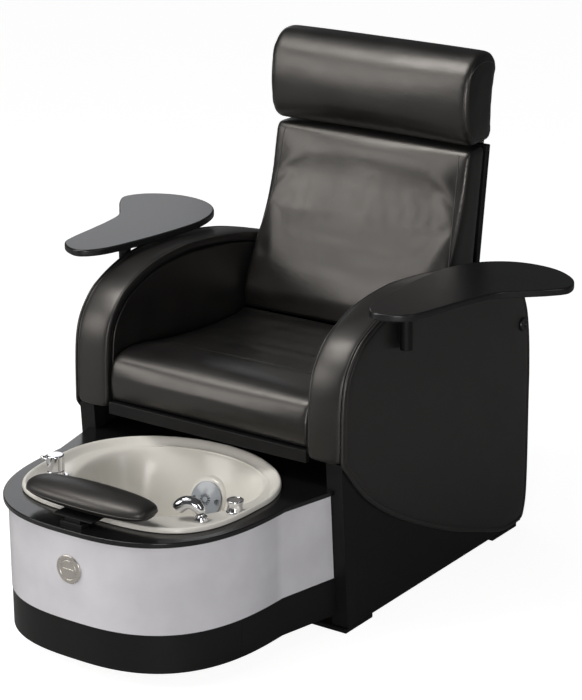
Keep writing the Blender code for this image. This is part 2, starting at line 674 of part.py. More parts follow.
def make_fittings():
    """Tap, sprayer, drain knob and the drain that it works."""
    x, y = TAP
    turned(
        "tap_body",
        [
            (0, TAP_BODY), (TAP_RADIUS - 0.002, TAP_BODY), (TAP_RADIUS, TAP_BODY - 0.002),
            (TAP_RADIUS, 0.007), (0.033, 0.004), (0.033, 0), (0, 0),
        ],
        "chrome", (x, y, DECK_TOP), steps=28,
    )
    low = TAP_BODY + RUNNING
    cap = turned(
        "tap_cap",
        [
            (0, TAP_HEIGHT), (TAP_RADIUS - 0.002, TAP_HEIGHT), (TAP_RADIUS, TAP_HEIGHT - 0.002),
            (TAP_RADIUS, low), (0, low),
        ],
        "chrome", (x, y, DECK_TOP), steps=28,
    )
    pivot = Vector((x - LEVER_PIVOT, y, DECK_TOP + LEVER_Z))
    half = LEVER_RADIUS + 0.001
    slot = box(
        "lever_slot", (x - TAP_RADIUS - 0.002, y - half, pivot.z - half),
        (x - TAP_RADIUS + LEVER_SLOT, y + half, pivot.z + half + 0.005), None,
    )
    boolean(cap, slot)
    tip = pivot + Vector((-0.026, 0, 0.002))
    lever = rod("tap_lever", pivot + Vector((0.001, 0, 0)), tip, LEVER_RADIUS, "chrome", 12)
    hang(lever, pivot)
    work = bmesh.new()
    bmesh.ops.create_uvsphere(work, u_segments=12, v_segments=8, radius=0.006)
    bmesh.ops.translate(work, vec=tip, verts=work.verts)
    boolean(lever, place("lever_ball", mesh_of("lever_ball", work), None), "UNION")

    x, y = SPRAYER
    bore = SPRAYER_SHANK + RUNNING
    turned(
        "sprayer_socket",
        [
            (0, 0.003), (bore, 0.003), (bore, SPRAYER_CUP), (bore + 0.003, SPRAYER_CUP), (bore + 0.006, 0),
            (0, 0),
        ],
        "chrome", (x, y, DECK_TOP), steps=20,
    )
    # the bent body, as (distance inboard, height, radius)
    bends = [
        (0, 0.004, SPRAYER_SHANK), (0, 0.017, SPRAYER_SHANK), (0.004, 0.029, 0.0128), (0.015, 0.040, 0.0140),
        (0.029, 0.0445, 0.0152), (0.043, 0.040, 0.0160), (0.053, 0.029, 0.0165), (0.057, 0.023, 0.0135),
    ]
    stations = []
    for inboard, rise, radius in bends:
        stations.append(((x - inboard, y - inboard * 0.35, DECK_TOP + rise), radius))
    bent("sprayer", stations)

    x, y = KNOB
    turned(
        "knob_base", [(0, KNOB_BASE), (0.020, KNOB_BASE), (0.0235, 0.002), (0.0235, 0), (0, 0)], "chrome",
        (x, y, DECK_TOP),
    )
    low = KNOB_BASE + RUNNING
    turned(
        "drain_knob",
        [
            (0, low + KNOB_HEIGHT), (KNOB_RADIUS - 0.002, low + KNOB_HEIGHT),
            (KNOB_RADIUS, low + KNOB_HEIGHT - 0.003), (KNOB_RADIUS - 0.003, low + KNOB_HEIGHT / 2),
            (KNOB_RADIUS, low), (0, low),
        ],
        "chrome", (x, y, DECK_TOP),
    )
    turned(
        "drain_body",
        [
            (0, DRAIN_SEAT), (0.017, DRAIN_SEAT), (0.020, BOWL_FLOOR + 0.0015), (0.030, BOWL_FLOOR + 0.0015),
            (0.030, BOWL_FLOOR + GAP), (DRAIN_RADIUS - 0.001, BOWL_FLOOR + GAP),
            (DRAIN_RADIUS - 0.001, 0.110),
            (0, 0.110),
        ],
        "chrome", (*DRAIN, 0),
    )
    turned(
        "drain_stopper",
        [
            (0, BOWL_FLOOR + 0.006), (0.020, BOWL_FLOOR + 0.004), (0.0225, BOWL_FLOOR + 0.002),
            (0.012, BOWL_FLOOR + 0.0005), (0.012, DRAIN_SEAT + RUNNING), (0, DRAIN_SEAT + RUNNING),
        ],
        "chrome", (*DRAIN, 0),
    )


def make_footrest():
    low, high = GUIDE_Y - GUIDE_DEPTH / 2, GUIDE_Y + GUIDE_DEPTH / 2
    guide = box(
        "footrest_guide", (-GUIDE_HALF, low, GUIDE_BOTTOM), (GUIDE_HALF, high, GUIDE_TOP),
        "black_panel", 0.001,
    )
    post_half, post_depth = GUIDE_HALF - 0.010, GUIDE_DEPTH - 0.014
    bore = box(
        "guide_bore", (-post_half - RUNNING, GUIDE_Y - post_depth / 2 - RUNNING, GUIDE_BOTTOM + 0.006),
        (post_half + RUNNING, GUIDE_Y + post_depth / 2 + RUNNING, GUIDE_TOP + 0.02), None,
    )
    boolean(guide, bore)
    top = REST_SHELF + SHELF_THICK
    post = box(
        "footrest_post", (-post_half, GUIDE_Y - post_depth / 2, GUIDE_BOTTOM + 0.006 + RUNNING),
        (post_half, GUIDE_Y + post_depth / 2, top - 0.001), "black_panel",
    )
    tongue = box(
        "footrest_tongue", (-0.060, GUIDE_Y - post_depth / 2, REST_SHELF), (0.060, REST_Y + 0.030, top), None
    )
    boolean(post, tongue, "UNION")
    under = top + GAP
    half_thick = REST_THICK / 2
    rings = []
    for i in range(9):
        turn = pi * (i + 0.5) / 9
        squeeze = sin(turn) ** 0.45
        ring = []
        for k in range(16):
            spin = 2 * pi * k / 16
            y = REST_Y + REST_WIDTH / 2 * squeeze * cos(spin)
            z = under + half_thick * (1 + squeeze * sin(spin))
            ring.append((-REST_LENGTH / 2 * cos(turn), y, z))
        rings.append(ring)
    loft("footrest_pad", rings, "black_leather")


# ---------------------------------------------------------------- trays
def make_trays():
    bore = POST_RADIUS + RUNNING
    for side, sign in (("left", 1), ("right", -1)):
        turn = radians(TRAY_TURN[side])
        x = sign * TRAY_X
        points = []
        for u, v in smooth(TRAY_OUTLINE, 2, closed=True):
            across = u * cos(turn) - v * sin(turn) - TRAY_INBOARD[side]
            along = u * sin(turn) + v * cos(turn)
            points.append((x + sign * across, TRAY_Y + along))
        upper = TRAY_UNDER + TRAY_THICK
        top = plate(f"tray_top_{side}", [points], "Z", TRAY_UNDER, upper, "black_laminate", 0.004)
        hang(top, Vector((x, TRAY_Y, TRAY_UNDER)))
        socket = turned(
            f"tray_socket_{side}",
            [
                (0, SOCKET_LOW + 0.004), (bore, SOCKET_LOW + 0.004), (bore, SOCKET_HIGH),
                (SOCKET_RADIUS, SOCKET_HIGH), (SOCKET_RADIUS, SOCKET_LOW), (0, SOCKET_LOW),
            ],
            "black_panel", (x, TRAY_Y, 0), steps=20,
        )
        edges = sorted((sign * (BASE_HALF + SHIELD + 2 * GAP), x - sign * (bore + 0.0018)))
        bracket = box(
            f"tray_bracket_{side}", (edges[0], TRAY_Y - 0.006, SOCKET_LOW + 0.012),
            (edges[1], TRAY_Y + 0.006, SOCKET_HIGH - 0.012), None,
        )
        boolean(socket, bracket, "UNION")
        flange = TRAY_UNDER - TRAY_FLANGE_THICK
        turned(
            f"tray_post_{side}",
            [
                (0, TRAY_UNDER - GAP), (TRAY_FLANGE, TRAY_UNDER - GAP), (TRAY_FLANGE, flange),
                (SOCKET_RADIUS, flange), (SOCKET_RADIUS, SOCKET_HIGH + RUNNING),
                (POST_RADIUS, SOCKET_HIGH + RUNNING), (POST_RADIUS, SOCKET_LOW + 0.004 + RUNNING),
                (0, SOCKET_LOW + 0.004 + RUNNING),
            ],
            "black_panel", (x, TRAY_Y, 0), steps=20,
        )


# ---------------------------------------------------------------- seat
def pin_bore(name):
    """The hole that the recline pin runs in."""
    ends = [(side * BASE_HALF, PIVOT_Y, PIVOT_Z) for side in (-1, 1)]
    return rod(name, *ends, PIN_RADIUS + RUNNING, None, 20)


def make_seat():
    deck_low, deck_high = DECK_Z + GAP, DECK_Z + GAP + SEAT_BOARD
    half = CUSHION_HALF
    deck = box("seat_deck", (-half, BOARD_FRONT, deck_low), (half, BOARD_REAR, deck_high), "black_panel")
    apron = box(
        "seat_apron", (-half, BOARD_FRONT, deck_low - APRON_DROP),
        (half, BOARD_FRONT + APRON_DEPTH, deck_high - 0.002), None,
    )
    boolean(deck, apron, "UNION")
    for side, sign in (("left", 1), ("right", -1)):
        edges = sorted((sign * RAIL_INNER, sign * (BASE_HALF - BOARD - GAP)))
        box(
            f"seat_rail_{side}", (edges[0], RAIL_FRONT, RAIL_TOP - RAIL_THICK),
            (edges[1], RAIL_REAR, RAIL_TOP), "steel", 0.001,
        )
        inner = RAIL_INNER + RUNNER_INSET
        edges = sorted((sign * inner, sign * (inner + RUNNER_WIDTH)))
        runner = box(
            f"runner_{side}", (edges[0], RAIL_FRONT + 0.100, RAIL_TOP + GAP),
            (edges[1], BOARD_REAR - 0.010, deck_low + 0.002), None,
        )
        boolean(deck, runner, "UNION")
        edges = sorted((sign * (PIN_HALF - EAR), sign * PIN_HALF))
        ear = box(
            f"ear_{side}", (edges[0], PIVOT_Y - EAR_REACH, deck_high - 0.002),
            (edges[1], PIVOT_Y + EAR_REACH, PIVOT_Z + 0.020), None,
        )
        boolean(deck, ear, "UNION")
    lug_rear = LUG_FRONT + LUG_DEPTH
    lug = box("rod_lug", (-0.015, LUG_FRONT, ROD_Z - 0.020), (0.015, lug_rear, deck_low + 0.002), None)
    boolean(deck, lug, "UNION")
    boolean(deck, pin_bore("deck_pin_hole"))
    rod("recline_pin", (-PIN_HALF, PIVOT_Y, PIVOT_Z), (PIN_HALF, PIVOT_Y, PIVOT_Z), PIN_RADIUS, "steel", 20)
    rod("actuator_rod", (0, lug_rear + GAP, ROD_Z), (0, ROD_END, ROD_Z), ROD_RADIUS, "chrome", 16)
    tube = rod("actuator_tube", (0, TUBE_FRONT, ROD_Z), (0, TUBE_REAR, ROD_Z), TUBE_RADIUS, "black_panel")
    bore_radius = ROD_RADIUS + RUNNING + GAP
    bore = rod("tube_bore", (0, TUBE_FRONT - 0.020, ROD_Z), (0, ROD_END + 0.020, ROD_Z), bore_radius, None)
    boolean(tube, bore)
    foot = deck_high + GAP
    face = [
        (SEAT_FRONT - 0.002, DECK_Z + 0.097), (SEAT_FRONT + 0.014, DECK_Z + 0.137), (0.075, DECK_Z + 0.154),
        (0.150, DECK_Z + 0.150), (0.187, DECK_Z + 0.143), (0.300, DECK_Z + 0.127), (0.440, DECK_Z + 0.115),
        (SEAT_REAR, DECK_Z + 0.117),
    ]
    cushion = [(SEAT_FRONT, foot), *smooth(face, 2), (SEAT_REAR, foot)]
    plate("seat_cushion", [cushion], "X", -CUSHION_HALF, CUSHION_HALF, "black_leather", 0.008)


# ---------------------------------------------------------------- back
def make_back():
    pivot = Vector((0, PIVOT_Y, PIVOT_Z))
    rear = [(back_rear(z), z) for z in (BACK_TOP, BACK_BOTTOM - SHELL_DROP)]
    front = [(y - SHELL, z) for y, z in reversed(rear)]
    shell = plate("back_shell", [rear + front], "X", -CUSHION_HALF, CUSHION_HALF, "black_panel", 0.002)
    hang(shell, pivot)
    low, high = BACK_BOTTOM - 0.019, BACK_BOTTOM + 0.030
    eye = PIN_RADIUS + 0.008
    arm = [
        (back_rear(high) - 0.002, high), (back_rear(low) - 0.002, low), (PIVOT_Y + eye, PIVOT_Z - eye),
        (PIVOT_Y - eye, PIVOT_Z - eye), (PIVOT_Y - eye, PIVOT_Z + eye),
        (back_rear(low) - 0.018, low + 0.012), (back_rear(high) - 0.018, high),
    ]
    inner = PIN_HALF - EAR - 2 * RUNNING
    for side, sign in (("left", 1), ("right", -1)):
        edges = sorted((sign * (inner - 0.018), sign * inner))
        boolean(shell, plate(f"back_arm_{side}", [arm], "X", *edges, None), "UNION")
    boolean(shell, pin_bore("shell_pin_hole"))
    behind = SHELL + GAP
    face = [(y, DECK_Z + rise) for y, rise in BACK_FACE]
    cushion = smooth(face, 2)
    cushion += [(back_rear(z) - behind, z) for z in (BACK_TOP, BACK_BOTTOM)]
    cushion.reverse()
    hang(plate("back_cushion", [cushion], "X", -CUSHION_HALF, CUSHION_HALF, "black_leather", 0.008), pivot)
    face = [(y, DECK_Z + rise) for y, rise in PILLOW_FACE]
    low, shoulder = BACK_TOP + PILLOW_GAP, face[-1][1] - 0.030
    pillow = [*smooth([*face, (back_rear(shoulder), shoulder)], 2), (back_rear(low), low)]
    pillow.reverse()
    plate("head_pillow", [pillow], "X", -PILLOW_HALF, PILLOW_HALF, "black_leather", 0.010)
    near = back_rear(FLAP_LOW) + GAP, back_rear(FLAP_HIGH) + GAP
    flap = [
        (near[0], FLAP_LOW), (near[0] + FLAP, FLAP_LOW), (near[1] + FLAP, FLAP_HIGH), (near[1], FLAP_HIGH),
    ]
    half = PILLOW_HALF - 0.030
    plate("head_flap", [flap], "X", -half, half, "black_leather", 0.001)


def main():
    global PARTS, CUTTERS
    clear_scene()
    PARTS = new_collection("pedicure_spa_chair")
    CUTTERS = new_collection("cutters")
    CUTTERS.hide_render = True
    make_base()
    make_services()
    make_arms()
    make_bath_skins()
    make_bowl()
    make_jet()
    make_fittings()
    make_footrest()
    make_trays()
    make_seat()
    make_back()


main()
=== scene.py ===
"""Looks of a pedicure spa chair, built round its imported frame.

Metres, +Z up, the sitter faces -Y, left is the sitter's left (+X).
"""

from math import cos, pi, radians, sin

import bmesh
import bpy
from bpy.props import FloatProperty, FloatVectorProperty, IntProperty, PointerProperty
from mathutils import Matrix, Vector
from mathutils.bvhtree import BVHTree


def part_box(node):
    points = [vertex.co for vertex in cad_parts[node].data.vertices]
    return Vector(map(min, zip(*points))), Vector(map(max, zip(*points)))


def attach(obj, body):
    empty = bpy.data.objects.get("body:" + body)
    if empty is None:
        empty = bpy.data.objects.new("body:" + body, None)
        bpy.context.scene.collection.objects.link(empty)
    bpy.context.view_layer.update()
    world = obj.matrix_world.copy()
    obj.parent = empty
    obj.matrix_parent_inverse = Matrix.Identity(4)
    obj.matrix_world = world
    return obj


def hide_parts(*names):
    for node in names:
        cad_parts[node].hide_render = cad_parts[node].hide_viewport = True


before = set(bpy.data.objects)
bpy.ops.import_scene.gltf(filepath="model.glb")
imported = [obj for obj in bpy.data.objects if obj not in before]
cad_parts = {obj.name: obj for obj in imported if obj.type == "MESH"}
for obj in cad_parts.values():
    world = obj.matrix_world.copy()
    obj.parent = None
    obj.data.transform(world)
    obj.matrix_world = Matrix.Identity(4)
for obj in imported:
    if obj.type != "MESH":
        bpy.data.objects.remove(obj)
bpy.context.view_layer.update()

bl_info = {
    "name": "Pedicure spa chair",
    "version": (1, 0, 0),
    "blender": (4, 5, 0),
    "location": "3D View > Sidebar > Spa Chair",
    "description": "Builds the upholstery, foot bath, fittings and finishes of a pedicure spa chair",
    "category": "Object",
}

# ---- places taken from the frame
SIDES = (("left", 1), ("right", -1))
DECK_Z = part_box("arm_pad_left")[0].z
ARM_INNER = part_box("arm_pad_left")[0].x
ARM_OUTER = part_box("arm_pad_left")[1].x
SHIELD_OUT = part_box("side_shield_left")[1].x
SEAT_LOW, SEAT_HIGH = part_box("seat_cushion")
BACK_LOW, BACK_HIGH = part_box("back_cushion")
PILLOW_LOW, PILLOW_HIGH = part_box("head_pillow")
PAD_LOW, PAD_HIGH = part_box("footrest_pad")
SURROUND_LOW, SURROUND_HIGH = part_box("surround")
FASCIA_LOW, FASCIA_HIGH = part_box("fascia")
KICK_LOW, KICK_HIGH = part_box("kick_front")
TRAY_LOW, TRAY_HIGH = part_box("tray_top_left")

ARM_PROFILE = [
    (0.003, 0), (0.007, 0.137), (0.021, 0.215), (0.056, 0.270), (0.107, 0.310), (0.212, 0.349),
    (0.341, 0.363), (0.440, 0.359), (0.560, 0.345), (0.690, 0.317), (0.838, 0.266), (0.889, 0.193),
    (0.909, 0.107), (0.916, 0),
]
SHIELD_LOWER = [
    (0.916, 0.816), (0.915, 0.279), (0.903, 0.097), (0.878, 0.039), (0.800, 0.035), (0.740, 0.067),
    (0.664, 0.125), (0.545, 0.218), (0.429, 0.328), (0.316, 0.449), (0.207, 0.585), (0.101, 0.758),
]
BATH_BASE_HALF, BATH_HALF, BATH_SHOULDER, BATH_FRONT, BATH_ROUND = 0.381, 0.348, -0.144, -0.541, 2.7
RIM_HALF, RIM_CENTRE, RIM_FRONT, RIM_REAR, RIM_ROUND = 0.314, -0.168, 0.300, 0.262, 3.4
RIM_RISE, BOWL_WALL, BOWL_CENTRE, BOWL_FLOOR = 0.014, 0.006, -0.135, 0.165
DECK_TOP = SURROUND_HIGH.z + 0.0003 - BOWL_WALL + 0.0015
JET_AT = Vector((0, 0.0176, 0.275))
JET_AXIS = Vector((0, -1, 0.376)).normalized()
TAP, SPRAYER, KNOB, DRAIN = (-0.243, -0.298), (0.230, -0.313), (0.267, -0.225), (0.0, -0.150)
TRAY_Y = 0.255
TRAY_X = 0.450
TRAY_OUTLINE = [
    (0.010, -0.175), (-0.026, -0.118), (-0.039, 0.000), (-0.041, 0.125), (-0.031, 0.235),
    (0.010, 0.325), (0.075, 0.376), (0.150, 0.391), (0.225, 0.376), (0.288, 0.330), (0.311, 0.270),
    (0.282, 0.224), (0.232, 0.176), (0.186, 0.129), (0.160, 0.062), (0.140, -0.014), (0.119, -0.100),
    (0.100, -0.145), (0.058, -0.173),
]
SEAT_FACE = [
    (0.014, 0.022), (0.011, 0.060), (0.013, 0.097), (0.028, 0.134), (0.074, 0.150), (0.150, 0.147),
    (0.187, 0.141), (0.300, 0.125), (0.440, 0.115), (0.560, 0.116), (0.604, 0.129),
]
BACK_FACE = [
    (0.606, 0.122), (0.603, 0.164), (0.607, 0.197), (0.632, 0.257), (0.672, 0.327), (0.712, 0.407),
    (0.740, 0.487), (0.758, 0.567), (0.768, 0.608), (0.782, 0.621),
]
PILLOW_FACE = [
    (0.782, 0.630), (0.757, 0.654), (0.745, 0.717), (0.747, 0.779), (0.760, 0.832), (0.793, 0.870),
    (0.835, 0.879), (0.872, 0.871),
]

CUSHION_HALF = 0.3163  # half the room between the arms
SEAT_SEAM = 0.188
BACK_PLANE_Y, BACK_PLANE_Z, BACK_LEAN = 0.8716, 1.083, 0.14
SHELF_TAIL_HALF, SHELF_REAR = 0.3717, 0.1897
KICK_SEAM = -0.300
LEAST_RADIUS = 0.00015
UNEDGED = ("jet_motor", "jet_impeller", "actuator_rod", "actuator_tube", "recline_pin")
CLOTH_FRAMES = 20
CLOTH = {
    "use_pressure": True, "quality": 5, "mass": 0.3, "tension_stiffness": 60,
    "compression_stiffness": 8, "shear_stiffness": 20, "bending_stiffness": 8,
}
# Each light's name, place, aim, width, height, power and colour.
LIGHTS = (
    ("left_box", (-2.7, -3.0, 2.1), (0, 0.2, 0.8), 2.0, 2.4, 62, (1, 0.975, 0.945)),
    ("arm_box", (-1.1, -0.8, 3.3), (0.1, 0.2, 0.7), 1.2, 1.2, 46, (1, 0.975, 0.94)),
    ("front_right_box", (3.0, -4.2, 1.3), (0, -0.2, 0.4), 1.2, 1.2, 85, (1, 0.97, 0.95)),
    ("right_box", (3.9, -0.6, 2.1), (0, 0.3, 0.6), 1.0, 2.2, 12, (0.97, 0.98, 1)),
    ("rear_left_box", (-2.9, 2.9, 2.0), (-0.5, 0.1, 0.7), 1.4, 1.3, 7, (0.97, 0.98, 1)),
)
CAMERA_AT, CAMERA_LENS = (3.70434, -4.80512, 2.77642), 130.56
CAMERA_AZIMUTH, CAMERA_ELEVATION, CAMERA_ROLL = radians(35.4989), radians(19.0141), radians(-0.4658)


# ---- settings
class ChairSizes(bpy.types.PropertyGroup):
    grain_size: FloatProperty(
        name="Leather grain", description="Width of one pebble of the leather grain",
        default=0.0016, min=0.0005, unit="LENGTH",
    )
    piping_radius: FloatProperty(
        name="Piping radius", description="Radius of the welt sewn along the arm edges",
        default=0.0022, min=0.001, unit="LENGTH",
    )
    arm_crown: FloatProperty(
        name="Arm crown", description="How far the middle of an arm pad stands above its edges",
        default=0.003, min=0, unit="LENGTH",
    )
    shield_crown: FloatProperty(
        name="Side cover crown", description="How far the outer cover of an arm is padded out",
        default=0.0022, min=0, unit="LENGTH",
    )
    seat_swell: FloatProperty(
        name="Seat swell", description="The most that a point of the seat cushion may move as it fills",
        default=0.022, min=0, unit="LENGTH",
    )
    back_swell: FloatProperty(
        name="Back swell", description="The most that a point of the back cushion may move as it fills",
        default=0.024, min=0, unit="LENGTH",
    )
    pillow_swell: FloatProperty(
        name="Headrest swell", description="The most that a point of the headrest may move as it fills",
        default=0.016, min=0, unit="LENGTH",
    )
    stitch_length: FloatProperty(
        name="Stitch length", description="Length of one stitch of the sewn lines",
        default=0.0050, min=0.002, unit="LENGTH",
    )
    round_steps: IntProperty(
        name="Round steps", description="Steps round a turned fitting", default=64, min=24,
    )


class ChairColours(bpy.types.PropertyGroup):
    leather: FloatVectorProperty(
        name="Leather", description="Colour of the upholstery", subtype="COLOR", size=3,
        default=(0.0075, 0.0072, 0.0070),
    )
    panel: FloatVectorProperty(
        name="Base panels", description="Colour of the base boards", subtype="COLOR", size=3,
        default=(0.0085, 0.0085, 0.0088),
    )
    laminate: FloatVectorProperty(
        name="Trays", description="Colour of the tray tops", subtype="COLOR", size=3,
        default=(0.010, 0.010, 0.011),
    )
    surround: FloatVectorProperty(
        name="Bath surround", description="Colour of the shelf round the bowl", subtype="COLOR", size=3,
        default=(0.006, 0.006, 0.0065),
    )
    fascia: FloatVectorProperty(
        name="Bath front", description="Colour of the glossy skin of the bath", subtype="COLOR", size=3,
        default=(0.74, 0.735, 0.775),
    )
    bowl: FloatVectorProperty(
        name="Bowl", description="Colour of the acrylic bowl", subtype="COLOR", size=3,
        default=(0.125, 0.119, 0.112),
    )
    chrome: FloatVectorProperty(
        name="Chrome", description="Colour of the plated fittings", subtype="COLOR", size=3,
        default=(0.80, 0.80, 0.82),
    )
    jet: FloatVectorProperty(
        name="Jet cover", description="Colour of the jet cover", subtype="COLOR", size=3,
        default=(0.36, 0.39, 0.43),
    )
    floor: FloatVectorProperty(
        name="Floor", description="Colour of the studio floor", subtype="COLOR", size=3,
        default=(0.42, 0.42, 0.42),
    )


def sizes():
    return bpy.context.scene.chair_sizes


def colours():
    return bpy.context.scene.chair_colours


# ---- finishes
def new_finish(name, colour, roughness, metallic=0.0, coat=0.0, specular=0.4):
    """A material with its shader and the object's own coordinates."""
    made = bpy.data.materials.new(name)
    made.use_nodes = True
    tree = made.node_tree
    shader = tree.nodes["Principled BSDF"]
    shader.inputs["Base Color"].default_value = (*colour, 1)
    shader.inputs["Roughness"].default_value = roughness
    shader.inputs["Metallic"].default_value = metallic
    shader.inputs["Coat Weight"].default_value = coat
    shader.inputs["Coat Roughness"].default_value = 0.08
    shader.inputs["Specular IOR Level"].default_value = specular
    place = tree.nodes.new("ShaderNodeTexCoord")
    return made, tree, shader, place.outputs["Object"]


def noise(tree, where, scale, detail=3.0, roughness=0.5):
    node = tree.nodes.new("ShaderNodeTexNoise")
    node.inputs["Scale"].default_value = scale
    node.inputs["Detail"].default_value = detail
    node.inputs["Roughness"].default_value = roughness
    tree.links.new(where, node.inputs["Vector"])
    return node.outputs["Fac"]


def pebbles(tree, where, scale, smoothness):
    node = tree.nodes.new("ShaderNodeTexVoronoi")
    node.feature = "SMOOTH_F1"
    node.inputs["Scale"].default_value = scale
    node.inputs["Smoothness"].default_value = smoothness
    tree.links.new(where, node.inputs["Vector"])
    return node.outputs["Distance"]


def stretched(tree, where, scale):
    node = tree.nodes.new("ShaderNodeMapping")
    node.inputs["Scale"].default_value = scale
    tree.links.new(where, node.inputs["Vector"])
    return node.outputs["Vector"]


def spread(tree, value, low, high, from_low=0.3, from_high=0.7):
    node = tree.nodes.new("ShaderNodeMapRange")
    for end, start, target in (("Min", from_low, low), ("Max", from_high, high)):
        node.inputs[f"From {end}"].default_value = start
        node.inputs[f"To {end}"].default_value = target
    tree.links.new(value, node.inputs["Value"])
    return node.outputs["Result"]


def two_tone(tree, shader, value, first, second):
    """Colours the shader from first to second as the value grows."""
    ramp = tree.nodes.new("ShaderNodeValToRGB")
    for element, position, tone in zip(ramp.color_ramp.elements, (0.35, 0.65), (first, second)):
        element.position = position
        element.color = (*tone, 1)
    tree.links.new(value, ramp.inputs["Fac"])
    tree.links.new(ramp.outputs["Color"], shader.inputs["Base Color"])


def bump(tree, height, strength, distance, after=None):
    node = tree.nodes.new("ShaderNodeBump")
    node.inputs["Strength"].default_value = strength
    node.inputs["Distance"].default_value = distance
    tree.links.new(height, node.inputs["Height"])
    if after:
        tree.links.new(after, node.inputs["Normal"])
    return node.outputs["Normal"]


def shade(colour, factor):
    return tuple(min(1.0, part * factor) for part in colour)


def leather_finish(name, colour, roughness=0.33, creases=0.5):
    """Pebbled, finished leather with soft creases and a worn sheen."""
    made, tree, shader, where = new_finish(name, colour, roughness, 0.0, 0.0, 0.8)
    shader.inputs["Sheen Weight"].default_value = 0.015
    shader.inputs["Sheen Roughness"].default_value = 0.5
    shader.inputs["Specular Tint"].default_value = (1.0, 0.96, 0.92, 1)
    pebble = pebbles(tree, where, 1 / sizes().grain_size, 0.4)
    fine = noise(tree, where, 2600, 2)
    broad = noise(tree, where, 9, 4, 0.55)
    fold = noise(tree, where, 34, 5, 0.6)
    two_tone(tree, shader, broad, shade(colour, 0.82), shade(colour, 1.25))
    tree.links.new(spread(tree, broad, roughness - 0.03, roughness + 0.07), shader.inputs["Roughness"])
    normal = bump(tree, fold, 0.35 * creases, 0.0025)
    normal = bump(tree, pebble, 0.30, 0.0003, normal)
    normal = bump(tree, fine, 0.12, 0.0001, normal)
    tree.links.new(normal, shader.inputs["Normal"])
    return made


def moulded_finish(name, colour, roughness, coat=0.0, texture=0.10, grain=700.0, specular=0.4):
    """Moulded or laminated surface with a fine texture and slight waviness."""
    made, tree, shader, where = new_finish(name, colour, roughness, 0.0, coat, specular)
    broad = noise(tree, where, 6, 3)
    fine = noise(tree, where, grain, 2)
    two_tone(tree, shader, broad, shade(colour, 0.93), shade(colour, 1.07))
    tree.links.new(spread(tree, fine, roughness * 0.85, roughness * 1.15), shader.inputs["Roughness"])
    normal = bump(tree, broad, 0.05, 0.002)
    normal = bump(tree, fine, texture, 0.00015, normal)
    tree.links.new(normal, shader.inputs["Normal"])
    return made


def metal_finish(name, colour, roughness, brushed=0.0):
    """Plated or brushed metal with faint smears."""
    made, tree, shader, where = new_finish(name, colour, roughness, 1.0)
    smear = noise(tree, where, 60, 4)
    tree.links.new(spread(tree, smear, roughness * 0.7, roughness * 1.5), shader.inputs["Roughness"])
    two_tone(tree, shader, smear, shade(colour, 0.94), colour)
    if brushed:
        lines = noise(tree, stretched(tree, where, (1, 1, 30)), 90, 3)
        tree.links.new(bump(tree, lines, brushed, 0.0002), shader.inputs["Normal"])
    return made


def board_finish(name, colour):
    """Plywood, with long grain."""
    made, tree, shader, where = new_finish(name, colour, 0.65)
    grain = noise(tree, stretched(tree, where, (30, 2, 8)), 6, 6)
    two_tone(tree, shader, grain, shade(colour, 0.7), shade(colour, 1.15))
    tree.links.new(bump(tree, grain, 0.2, 0.0005), shader.inputs["Normal"])
    return made


def finish(name):
    """The finish of this name, made once."""
    found = bpy.data.materials.get(name)
    if found:
        return found
    c = colours()
    maker, *settings = {
        "black_leather_soft": (leather_finish, c.leather),
        "black_leather_tight": (leather_finish, c.leather, 0.38, 0.18),
        # the welt leather is the upholstery colour made 3.5 times lighter: painted highlight for the light
        # that catches the piping on the arms, back, headrest and footrest
        "leather_welt": (leather_finish, shade(c.leather, 3.5), 0.34, 0.1),
        "thread": (moulded_finish, (0.30, 0.29, 0.27), 0.6, 0, 0.4, 3000),
        "satin_board": (moulded_finish, c.panel, 0.45, 0, 0.16, 900, 0.22),
        "tray_laminate": (moulded_finish, c.laminate, 0.30, 0.0, 0.14, 1100, 0.5),
        "shelf_gloss": (moulded_finish, c.surround, 0.20, 0.15, 0.10, 1300),
        "white_gloss_skin": (moulded_finish, c.fascia, 0.22, 0.5, 0.03, 500),
        "acrylic": (moulded_finish, c.bowl, 0.30, 0.22, 0.02, 400),
        "polished_chrome": (metal_finish, c.chrome, 0.07),
        "brushed_nickel": (metal_finish, (0.66, 0.63, 0.58), 0.30, 0.15),
        "plated_steel": (metal_finish, (0.42, 0.43, 0.45), 0.38, 0.1),
        "jet_plastic": (moulded_finish, c.jet, 0.16, 0.4, 0.03, 500),
        "grey_housing": (moulded_finish, (0.16, 0.17, 0.18), 0.45),
        # near black: painted shade for the dark inside of the jet, seen through the slots and outlets of its
        # cover
        "dark_bore": (moulded_finish, (0.004, 0.004, 0.005), 0.6),
        "plywood": (board_finish, (0.32, 0.22, 0.13)),
    }[name]
    return maker(name, *settings)


# ---- making pieces
def finished(obj, name, body, replaces=(), angle=None):
    """Gives a piece its finish, shading, material slot and body."""
    obj.data.materials.clear()
    obj.data.materials.append(finish(name))
    if obj.type == "MESH":
        obj.data.shade_smooth()
        if angle:
            obj.data.set_sharp_from_angle(angle=radians(angle))
            modified(obj, "WEIGHTED_NORMAL", keep_sharp=True)
    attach(obj, body)
    if replaces:
        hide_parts(*replaces)
    return obj


def mesh_object(name, work):
    mesh = bpy.data.meshes.new(name)
    bmesh.ops.recalc_face_normals(work, faces=work.faces)
    work.to_mesh(mesh)
    work.free()
    obj = bpy.data.objects.new(name, mesh)
    bpy.context.scene.collection.objects.link(obj)
    return obj


def skinned(name, rings):
    """A surface over rings of equal length, closed at both ends."""
    work = bmesh.new()
    rows = [[work.verts.new(point) for point in ring] for ring in rings]
    for one, two in zip(rows, rows[1:]):
        for i in range(len(one)):
            j = (i + 1) % len(one)
            work.faces.new((one[i], one[j], two[j], two[i]))
    work.faces.new(rows[0])
    work.faces.new(reversed(rows[-1]))
    return mesh_object(name, work)


def circle(at, turn, radius, height, steps):
    """Points of a circle round the turned axis, this far along it."""
    angles = [2 * pi * i / steps for i in range(steps)]
    return [Vector(at) + turn @ Vector((radius * cos(a), radius * sin(a), height)) for a in angles]


